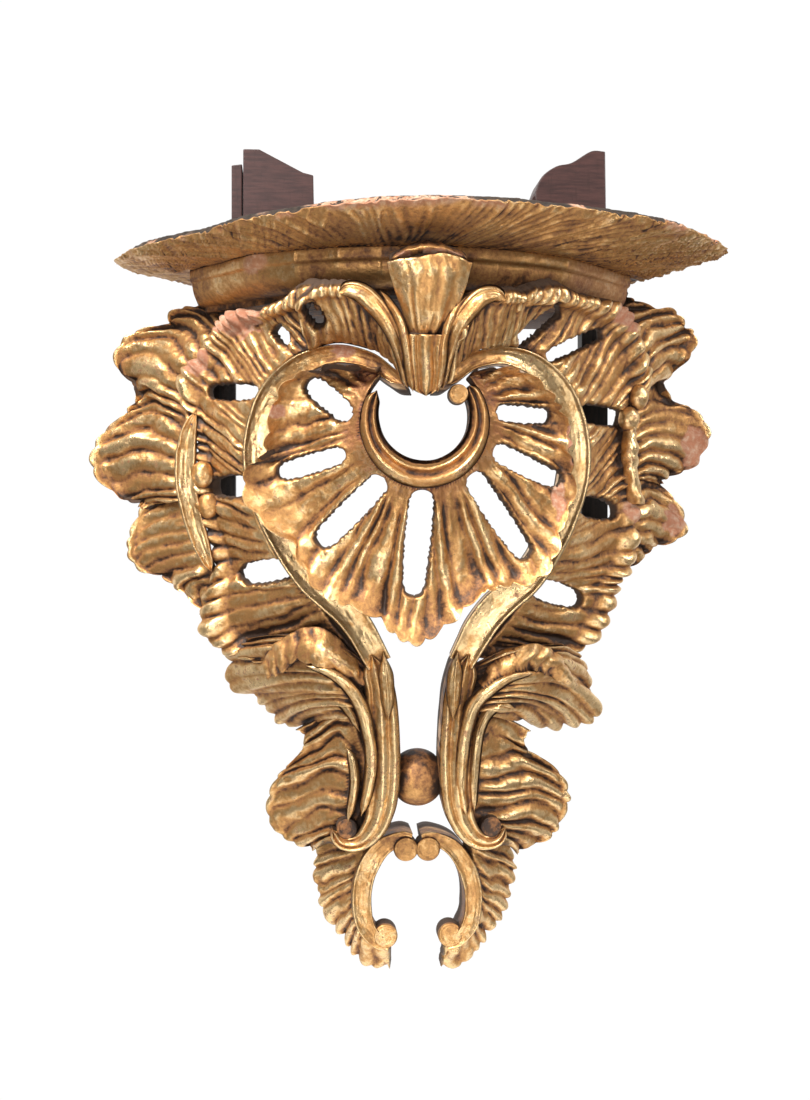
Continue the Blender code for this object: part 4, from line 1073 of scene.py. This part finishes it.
def frieze():
    """The moulded block under the shelf: a fillet over a cove."""
    levels = frieze_levels()
    plans = [np.array(frieze_plan(inset)) for z, inset in levels]
    lengths = [run_length(plan) for plan in plans]
    bends = [length + off for length in lengths[0][1:-1] for off in (-1.2, -0.5, 0.0, 0.5, 1.2)]
    share = np.sort(np.concatenate([np.linspace(0, 1, 220), [0, 1], np.array(bends) / lengths[0][-1]]))
    net = []
    for (level, inset), plan, length in zip(levels, plans, lengths):
        x, out = (np.interp(share * length[-1], length, plan[:, k]) for k in (0, 1))
        net.append(np.column_stack([x, np.full(len(share), level), out]))
    net = np.stack(net, axis=1)
    shape = net.shape[:2]
    waves = 0.35 * noise(shape, (60, 5), 41) + 0.5 * noise(shape, (14, 3), 42)
    net[1:-1, 1:-1, 2] += waves[1:-1, 1:-1]
    x, z = net[..., 0], net[..., 1]
    worn = np.maximum(spots(x, z, BARE_FRIEZE, shape, 43), 0.4 * spots(x, z, WORN_FRIEZE, shape, 44))
    ends = smooth(150, 164, np.abs(x))
    # Painted light and shade: the fillet is lighter, the cove darker towards its foot, and the ends that turn
    # back to the wall darker still, also through their rim.
    crest = 0.35 + 0.4 * smooth(6, 9, z) - 0.35 * smooth(4, -16, z) - 1.2 * ends
    fields = {"crest": crest, "bare": worn * 0.8, "rim": ends * 0.4, "back": net[..., 2] < 0.5}
    piece("frieze_moulding", net, closed_net(shape), fields, gold, "frieze")


def rounded_box(name, outline, front, back, finish, node, radius):
    """A straight block with rounded arrises from an outline in x and z."""
    points = [(x, z, out) for out in (front, back) for x, z in outline]
    item = piece(name, points, tube_faces(2, len(outline)), {}, finish, node)
    bevel = item.modifiers.new("arris", "BEVEL")
    bevel.width = radius * MM
    bevel.segments = 3
    bevel.limit_method = "ANGLE"
    item.data.shade_flat()


def upright(side):
    """A dark board that stands against the wall behind the carving."""
    inner = FRIEZE_HALF_WIDTH - UPRIGHT_INSET[side]
    near, far = side * inner, side * (inner + UPRIGHT_WIDTH)
    top, bottom = FRIEZE_BOTTOM - GAP, UPRIGHT_BOTTOM[side]
    node = f"{SIDE_NAME[side]}_upright"
    outline = ((near, bottom), (near, top), (far, top), (far, bottom))
    rounded_box(f"{node}_board", outline, UPRIGHT_DEPTH, 0.0, blackish, node, UPRIGHT_ROUNDING)


def block(side):
    """A mahogany block with a sloping top that stands on the back of the shelf, and the part behind it."""
    node = f"{SIDE_NAME[side]}_block"
    seat = SHELF_TOP - HOUSING_DEPTH + GAP
    outline = [(x, seat + rise) for x, rise in BLOCK_OUTLINE[side]]
    rear = [(x, seat + rise) for x, rise in BLOCK_REAR[side]]
    if side == RIGHT:
        middle = along([(x, z, 0.0) for x, z in outline[1:7]], np.linspace(0, 5, 26))[:, :2]
        outline = [outline[0]] + [tuple(point) for point in middle] + [outline[-1]]
    for part, line, setback in (("rear", rear, BLOCK_REAR_SETBACK), ("wood", outline, 0.0)):
        rounded_box(f"{node}_{part}", line, BLOCK_FRONT - setback, BLOCK_FRONT - BLOCK_DEPTH, reddish, node,
                    BLOCK_ROUNDING)


# Carving

def from_ring(radius, turn):
    """The point (x, z) at a distance from the ring's centre, in a direction."""
    return RING_CENTRE[0] + radius * math.cos(turn), RING_CENTRE[1] + radius * math.sin(turn)


def ring():
    """The crescent round the opening in the middle of the shell, with a small volute at its right tip."""
    path = []
    start, end = RING_ARC
    for angle in np.linspace(start, end, 25):
        turn = math.radians(angle)
        swell = 0.5 + 0.5 * math.sin(math.pi * (angle - start) / (end - start))
        path.append((*from_ring(RING_RADIUS, turn), RING_OUT - 4.0, RING_WIDTH * swell))
    heights = ((-0.5, -3.0), (-0.42, -1.0), (-0.30, 2.0), (-0.22, 3.0), (-0.12, 1.8), (-0.04, -1.0),
               (0.06, -1.0), (0.14, 1.6), (0.2, 2.4), (0.28, 0.8), (0.36, -3.0), (0.5, -8.0))
    scroll("ring", path, heights, RING_DEPTH, gold_red, 101, flip=True, taper=(8.0, 5.0))
    volute("ring_volute", RING_VOLUTE, RING_VOLUTE_RADIUS, RING_VOLUTE_DEPTH, gold_red)


def collar(x, z, shape):
    """Where the shell's worn red collar lies round the ring."""
    reach = np.hypot(x - RING_CENTRE[0], z - RING_CENTRE[1]) + 2.5 * noise(shape, (60, 6), 209)
    return 0.45 * smooth(60, 53, reach)


def shell_shade(x, z):
    """Darker towards the shell's lower lobes, and paler at its upper ends as painted light against the
    painted shade behind the heart scroll.
    """
    return 0.75 * smooth(-205, -258, z) - 0.7 * smooth(-95, -66, z)


def shell():
    """The fluted shell that fans out from the ring, open between its lobes."""
    inner, rim = [], []
    for angle, radius, out in SHELL_RIM:
        turn = math.radians(angle)
        inner.append((*from_ring(SHELL_INNER_RADIUS, turn), RING_OUT - 9.0))
        rim.append((*from_ring(radius, turn), out))
    panel("shell", (inner, rim), 36, 3.6, 8.0, gold, 201, sharp=0.85, start=0.12, grow=0.16, lobe=3.0,
          curl=9.0, curl_from=0.76, hollow=8.0, ruffle=2.2, slots=SHELL_SLOTS, bare=BARE_SHELL, round_to=2.0,
          red=collar, shade=shell_shade, splits=SHELL_SPLITS, notch=5.0, swell=3.5, cell=CELL * 0.9)


def heart_scroll(side):
    """One of the two C-scrolls that frame the shell like a heart."""
    line = at_shares(HEART_EDGE, np.linspace(0, 1, 25))
    inward = unit(np.cross(np.gradient(line[:, :3], axis=0), (0.0, 0.0, 1.0)))
    path = [(*(point[:3] + way * point[3] / 2), point[3]) for point, way in zip(line, inward)]
    heights = ((-0.5, 0.6), (-0.45, 1.9), (-0.41, 1.5), (-0.35, 0.0), (-0.2, -0.9), (0.0, -1.4), (0.2, -1.2),
               (0.36, -0.6), (0.44, 0.4), (0.5, -0.2))
    # Painted light: the heart's face is raised by a dark below zero and the lighter copy of the gilding.
    scroll(f"heart_scroll_{SIDE_NAME[side]}", mirrored(path, side), heights, HEART_DEPTH, gold_painted_light,
           301 + side, flip=side == LEFT, bare=BARE_HEART[side], taper=(9.0, 0.0), dark=-0.6)


def pierced_band(side):
    """The ribbed and pierced band outside the heart, with a knuckled roll along its edge."""
    rails = (mirrored(BAND_INNER, side), BAND_OUTER[side])
    panel(f"band_{SIDE_NAME[side]}", rails, 42, 2.9, 9.0, gold, 401 + side, sharp=0.75, grow=0.12, lobe=2.2,
          roll=7.0, hollow=5.0, slots=BAND_SLOTS[side], bare=BARE_BAND[side], splits=BAND_SPLITS[side],
          notch=5.0, swell=2.5, dark=0.1)


def strip(side):
    """The thin C-shaped strip outside the knuckled rim."""
    heights = ((-0.5, 0.5), (-0.4, 1.8), (-0.3, 0.6), (0.0, -0.8), (0.3, 0.2), (0.42, 1.4), (0.5, 0.2))
    if side == LEFT:
        scroll("strip_left", STRIP[side], heights, STRIP_DEPTH, gold_painted_light, 501, taper=(10.0, 8.0), dark=-0.2)
        return
    path = np.array(STRIP[side], dtype=float)[:, :3]
    panel("knuckles_right", (path - (6, 0, 4), path + (0, 0, 3), path + (6, 0, -2)), 5, 2.2, 10.0, gold, 511,
          sharp=0.9, lobe=0.8, round_to=3.4, start=-0.5, grow=0.3, rough=0.6)


def wings(side):
    """The fluted wings that reach out to the sides and back towards the wall."""
    panel(f"upper_wing_{SIDE_NAME[side]}", UPPER_WING[side], 15, 4.4, 8.0, gold, 601 + side, curl=7.0,
          bow=1.2, bare=BARE_WING[side], round_to=2.6, lip=2.6, splits=WING_SPLITS[side], notch=9.0,
          swell=7.0, dark=0.1)
    panel(f"side_wing_{SIDE_NAME[side]}", SIDE_WING[side], 8, 4.4, 8.0, gold, 611 + side, curl=5.0, bow=0.8,
          bare=BARE_SIDE_WING[side], round_to=2.6, lip=2.2, splits=SIDE_WING_SPLITS, notch=6.0, swell=5.0,
          dark=0.1)


def lower_leaf(side):
    """The acanthus leaf that turns out below the heart, with the crest it curls over in painted shade."""
    word = SIDE_NAME[side]
    panel(f"lower_leaf_{word}", LOWER_LEAF[side], 9, 4.6, 8.0, gold, 701 + side, lobe=2.8, round_to=2.6,
          splits=LEAF_SPLITS[side], notch=5.0, bow=0.8)
    upper, lower = LEAF_CREST[side]
    middle = sum(along(rail, np.linspace(0, len(rail) - 1, 7)) for rail in (upper, lower)) / 2
    panel(f"leaf_crest_{word}", (upper, middle + (0, 0, 6), lower), 8, 1.6, 8.0, gold_painted_deep_shade, 721 + side,
          sharp=0.9, lobe=1.8, round_to=1.6, start=-0.2, grow=0.2, slant=-1.2, rough=0.4)
    heights = ((-0.5, -5.0), (-0.38, -1.0), (-0.2, 1.2), (0.0, 2.2), (0.2, 1.6), (0.38, -0.6), (0.5, -5.0))
    for number, path in enumerate(LEAF_LINES[side]):
        scroll(f"leaf_line_{word}_{number}", path, heights, LEAF_LINE_DEPTH, gold_painted_light,
               731 + 3 * side + number, flip=side == LEFT, taper=(7.0, 9.0), rough=0.35)


def sheath(side):
    """The reeded sheath that runs down from the heart into a volute."""
    word = SIDE_NAME[side]
    heights = ((-0.5, -2.0), (-0.44, 0.6), (-0.36, 1.2), (-0.26, -0.6), (-0.16, 1.4), (-0.02, 2.8),
               (0.1, 1.2), (0.16, -0.6), (0.24, 1.0), (0.34, 2.0), (0.42, 0.6), (0.5, -2.0))
    scroll(f"sheath_{word}", mirrored(SHEATH, side), heights, SHEATH_DEPTH, gold_painted_light, 801 + side,
           flip=side == LEFT, taper=(16.0, 6.0))
    heights = ((-0.5, -2.0), (-0.3, 1.0), (-0.1, 1.8), (0.0, 2.6), (0.1, 1.8), (0.3, 1.0), (0.5, -2.0))
    scroll(f"tongue_{word}", mirrored(TONGUE, side), heights, TONGUE_DEPTH, gold_painted_light, 811 + side,
           taper=(18.0, 14.0))
    volute(f"sheath_volute_{word}", mirrored(SHEATH_VOLUTE, side), SHEATH_VOLUTE_RADIUS, SHEATH_VOLUTE_DEPTH,
           volute_brown)


def ball(name, centre, size, finish, wobble):
    """A rounded boss with its centre and its three diameters given as (x, z, out)."""
    shape = (40, 56)
    lift = np.linspace(-math.pi / 2, math.pi / 2, shape[0])[:, None]
    turn = np.linspace(0, 2 * math.pi, shape[1], endpoint=False)[None, :]
    bumps = 1 + wobble * noise(shape, (7, 9), 77) * np.cos(lift)
    rise = np.sin(lift) + 0 * turn
    unit_ball = np.stack([np.cos(lift) * np.cos(turn) * bumps, rise, np.cos(lift) * np.sin(turn) * bumps], -1)
    points = np.asarray(centre) + unit_ball * np.asarray(size) / 2
    # Painted shade: the top and bottom of each ball are darker than its middle.
    piece(name, points, tube_faces(*shape), {"crest": 0.35 - 0.9 * smooth(0.55, 0.95, np.abs(rise))}, finish)


def lower_wing(side):
    """The fluted wing outside the sheath."""
    panel(f"lower_wing_{SIDE_NAME[side]}", LOWER_WING[side], 9, 4.8, 9.0, gold, 901 + side, curl=5.0, bow=0.8,
          round_to=2.6, splits=LOWER_WING_SPLITS, notch=6.0, lip=1.6)


def foot_scroll(side):
    """One of the two C-scrolls at the bottom, with its small volutes."""
    name = f"foot_scroll_{SIDE_NAME[side]}"
    heights = ((-0.5, 0.8), (-0.42, 1.6), (-0.34, 0.8), (-0.1, -0.2), (0.15, -0.5), (0.35, -0.1), (0.44, 0.6),
               (0.5, -0.2))
    path = mirrored(FOOT_SCROLL, side) * (1.0, 1.0, 1.0, FOOT_BREADTH[side])
    scroll(name, path, heights, FOOT_DEPTH, gold, 1001 + side, flip=side == LEFT, dark=-0.05)
    for number, eye in enumerate(FOOT_EYES):
        volute(f"{name}_eye_{number}", mirrored(eye, side) + (0.0, 0.0, FOOT_EYE_PROUD), FOOT_EYE_RADIUS,
               FOOT_EYE_DEPTH, gold)


def volute(name, centre, radius, depth, finish):
    """A small volute: a rounded drum with a shallow spiral groove in its face."""
    x, z, out = centre
    turn = np.linspace(0, 2 * math.pi, 56, endpoint=False)
    face = [(share, None) for share in np.linspace(0.02, 0.86, 16)]
    drum = list(zip((0.92, 0.97, 1.0, 1.0, 1.0, 0.98), (0.5, -0.2, -1.6, -0.4 * depth, -0.9 * depth, -depth)))
    net = []
    for share, height in face + drum:
        if height is None:
            groove = np.clip(np.cos(turn + 4.4 * math.pi * share), 0, 1) ** 6
            height = 0.7 - 0.45 * groove * smooth(0.3, 0.7, share)
        reach = share * radius
        level = out + height + 0 * turn
        net.append(np.stack([x + reach * np.cos(turn), z + reach * np.sin(turn), level], -1))
    net = np.stack(net)
    crest = np.full(net.shape[:2], 0.25)
    crest[:16] -= 0.7 * np.clip(0.4 - (net[:16, :, 2] - out), 0, 1)
    crest[18:] = -0.5
    behind = np.zeros(crest.shape)
    behind[19:] = 1
    piece(name, net, tube_faces(*crest.shape), {"crest": crest, "back": behind}, finish)


def fringe(side):
    """The rocaille fringe outside the bottom scroll."""
    rails = [mirrored(rail, side) for rail in FRINGE]
    panel(f"fringe_{SIDE_NAME[side]}", rails, 11, 3.6, 10.0, gold, 1101 + side, lobe=2.4, round_to=2.8,
          splits=FRINGE_SPLITS, notch=5.0, swell=3.0)


def palmette_shade(x, z):
    """Painted shade on the palmette towards its cap, under the shelf."""
    return 0.35 * smooth(-26, -8, z)


def palmette():
    """The fan in the middle of the frieze, with its domed cap in painted shade, on its three-stranded stem.
    """
    panel("palmette", PALMETTE, 5, 1.3, 9.0, gold, 1201, sharp=1.0, lobe=0.4, round_to=1.8, start=-0.2,
          grow=0.2, cell=CELL * 0.8, rough=0.15, shade=palmette_shade)
    panel("palmette_cap", CAP, 5, 1.0, 9.0, gold_painted_deep_shade, 1221, sharp=1.2, lobe=0.8, cell=CELL * 0.8,
          bare=BARE_CAP)
    half = ((-0.5, -2.4), (-0.42, 0.0), (-0.36, 0.6), (-0.28, -0.4), (-0.22, -1.8), (-0.16, 0.4),
            (-0.06, 2.0))
    heights = half + tuple((-share, height) for share, height in half[::-1])
    scroll("stem", STEM, heights, STEM_DEPTH, gold, 1301, taper=(0.0, 4.0))


def upper_leaf(side):
    """The fluted leaf above the heart, and the strands that rise beside the stem and turn outwards."""
    word = SIDE_NAME[side]
    panel(f"upper_leaf_{word}", UPPER_LEAF[side], 12, 2.6, 9.0, gold, 1401 + side, start=-0.2, grow=0.3,
          bow=0.5, roll=4.0, roll_from=0.8, slots=BAND_SLOTS[side][:1])
    broad = ((-0.5, -5.0), (-0.4, -1.5), (-0.28, 0.2), (-0.18, -0.8), (-0.08, 0.6), (0.1, 1.6), (0.26, 2.2),
             (0.38, 1.0), (0.5, -3.0))
    plain = ((-0.5, -4.0), (-0.3, -0.5), (-0.1, 1.2), (0.1, 1.6), (0.3, 0.2), (0.5, -3.0))
    for number, path in enumerate(LEAF_STRANDS[side]):
        heights = broad if number == 0 else plain
        scroll(f"leaf_strand_{word}_{number}", path, heights, STRAND_DEPTH, gold, 1421 + 3 * side + number,
               flip=side == LEFT, taper=(6.0, 5.0), rough=0.35)


def read(items, kind, key, width=3):
    """One property of all items of a mesh, as rows of numbers."""
    values = np.empty(len(items) * width, dtype=kind)
    items.foreach_get(key, values)
    return values.reshape(-1, width)


def open_rays():
    """Directions spread evenly over the half of space in front of a point."""
    rays = []
    for k in range(OPEN_RAYS):
        lift = (k + 0.5) / OPEN_RAYS
        turn = k * math.pi * (3 - math.sqrt(5))
        flat = math.sqrt(1 - lift * lift)
        rays.append((flat * math.cos(turn), flat * math.sin(turn), lift))
    return rays


def shade_hollows():
    """Give every piece an attribute for how open each point is to the air around it, for the gilding's
    painted shade.
    """
    points, triangles, offset = [], [], 0
    for item in built:
        mesh = item.data
        mesh.calc_loop_triangles()
        points.append(read(mesh.vertices, float, "co"))
        triangles.append(read(mesh.loop_triangles, np.int32, "vertices") + offset)
        offset += len(mesh.vertices)
    tree = BVHTree.FromPolygons(np.concatenate(points).tolist(), np.concatenate(triangles).tolist())
    for item, place in zip(built, points):
        mesh = item.data
        normal = read(mesh.vertex_normals, float, "vector")
        chosen = np.arange(0, len(place), 4)
        tangent = unit(np.cross(normal, np.where(np.abs(normal[:, 2:]) > 0.8, (1.0, 0, 0), (0, 0, 1.0))))
        other = np.cross(normal, tangent)
        value = np.zeros(len(chosen))
        start = place[chosen] + normal[chosen] * 0.0006
        for a, b, c in open_rays():
            way = tangent[chosen] * a + other[chosen] * b + normal[chosen] * c
            for number, (origin, direction) in enumerate(zip(start.tolist(), way.tolist())):
                hit = tree.ray_cast(origin, direction, OPEN_REACH)[3]
                value[number] += 1.0 if hit is None else 0.8 * hit / OPEN_REACH
        every = np.interp(np.arange(len(place)), chosen, value / OPEN_RAYS)
        layer = mesh.attributes.new("open", "FLOAT", "POINT")
        layer.data.foreach_set("value", every.astype(np.float32))


def carving():
    """Every carved piece below the frieze."""
    ring()
    shell()
    palmette()
    ball("ball", BALL_CENTRE, BALL_SIZE, gold_painted_shade, 0.04)
    for number, centre in enumerate(KNOBS):
        ball(f"knob_{number}", centre, KNOB_SIZE, gold, 0.1)
    for side in (LEFT, RIGHT):
        heart_scroll(side)
        pierced_band(side)
        strip(side)
        wings(side)
        lower_leaf(side)
        lower_wing(side)
        fringe(side)
        upper_leaf(side)
        sheath(side)
        foot_scroll(side)


# Stage, lights and camera

def stage():
    """A pale floor below."""
    mesh = bpy.data.meshes.new("floor")
    tool = bmesh.new()
    bmesh.ops.create_circle(tool, cap_ends=True, segments=96, radius=FLOOR_RADIUS)
    tool.to_mesh(mesh)
    tool.free()
    floor = bpy.data.objects.new("floor", mesh)
    floor.location = FLOOR_PLACE
    bpy.context.scene.collection.objects.link(floor)
    finish, tree, shader = new_material("pale_floor")
    grain = speckle(tree, 30, 3, 0.5)
    plain(tree, shader, mixed(tree, grain, (0.82, 0.82, 0.82), (0.88, 0.88, 0.87)), 0.8)
    mesh.materials.append(finish)


def light(name, place, target, size, power):
    """A soft light of a width and a height, aimed at a point."""
    lamp = bpy.data.lights.new(name, "AREA")
    lamp.shape = "RECTANGLE"
    lamp.size, lamp.size_y = size
    lamp.energy = power
    item = bpy.data.objects.new(name, lamp)
    item.location = place
    item.rotation_euler = (Vector(target) - Vector(place)).to_track_quat("-Z", "Y").to_euler()
    bpy.context.scene.collection.objects.link(item)


def world():
    """A sky that is white behind the bracket and dim in front of it and below."""
    sky = bpy.data.worlds.new("sky")
    bpy.context.scene.world = sky
    sky.use_nodes = True
    tree = sky.node_tree
    place = tree.nodes.new("ShaderNodeTexCoord")
    parts = tree.nodes.new("ShaderNodeSeparateXYZ")
    tree.links.new(place.outputs["Generated"], parts.inputs[0])
    behind = ranged(tree, parts.outputs[1], -0.3, 0.75, 0.0, 1.0)
    height = ranged(tree, parts.outputs[2], -0.75, -0.4, 0.25, 1.0)
    upper = ranged(tree, parts.outputs[2], 0.1, 0.8, 0.0, 0.3)
    tone = math_node(tree, "ADD", math_node(tree, "MULTIPLY", behind, height), upper, clamp=True)
    colour = mixed(tree, tone, (0.14, 0.14, 0.145), (1.02, 1.02, 1.02))
    tree.links.new(colour, tree.nodes["Background"].inputs["Color"])
    tree.nodes["Background"].inputs["Strength"].default_value = 1.0


def camera():
    """The photograph's camera: a little to the left and below the middle, looking straight ahead."""
    lens = bpy.data.cameras.new("camera")
    lens.lens = CAMERA_LENS
    item = bpy.data.objects.new("camera", lens)
    across_wall, from_wall = math.sin(CAMERA_YAW), math.cos(CAMERA_YAW)
    item.location = (-CAMERA_DISTANCE * across_wall, -CAMERA_DISTANCE * from_wall, CAMERA_HEIGHT)
    item.rotation_euler = (math.pi / 2, 0.0, -CAMERA_YAW)
    bpy.context.scene.collection.objects.link(item)
    bpy.context.scene.camera = item


shelf()
frieze()
for half in (LEFT, RIGHT):
    upright(half)
    block(half)
carving()
shade_hollows()
stage()
world()
light("key", (-0.7, -1.1, 1.1), (0.0, -0.1, -0.25), (0.4, 0.4), 44.0)
light("fill", (1.2, -1.0, 0.5), (0.0, -0.1, -0.25), (0.3, 0.6), 12.0)
light("front", (-0.3, -1.6, -0.3), (0.0, -0.1, -0.2), (0.5, 0.5), 9.0)
light("under", (0.2, -1.0, -1.0), (0.0, -0.15, 0.0), (0.5, 0.3), 2.5)
camera()
bpy.context.scene.view_settings.view_transform = "Standard"

bpy.context.view_layer.update()
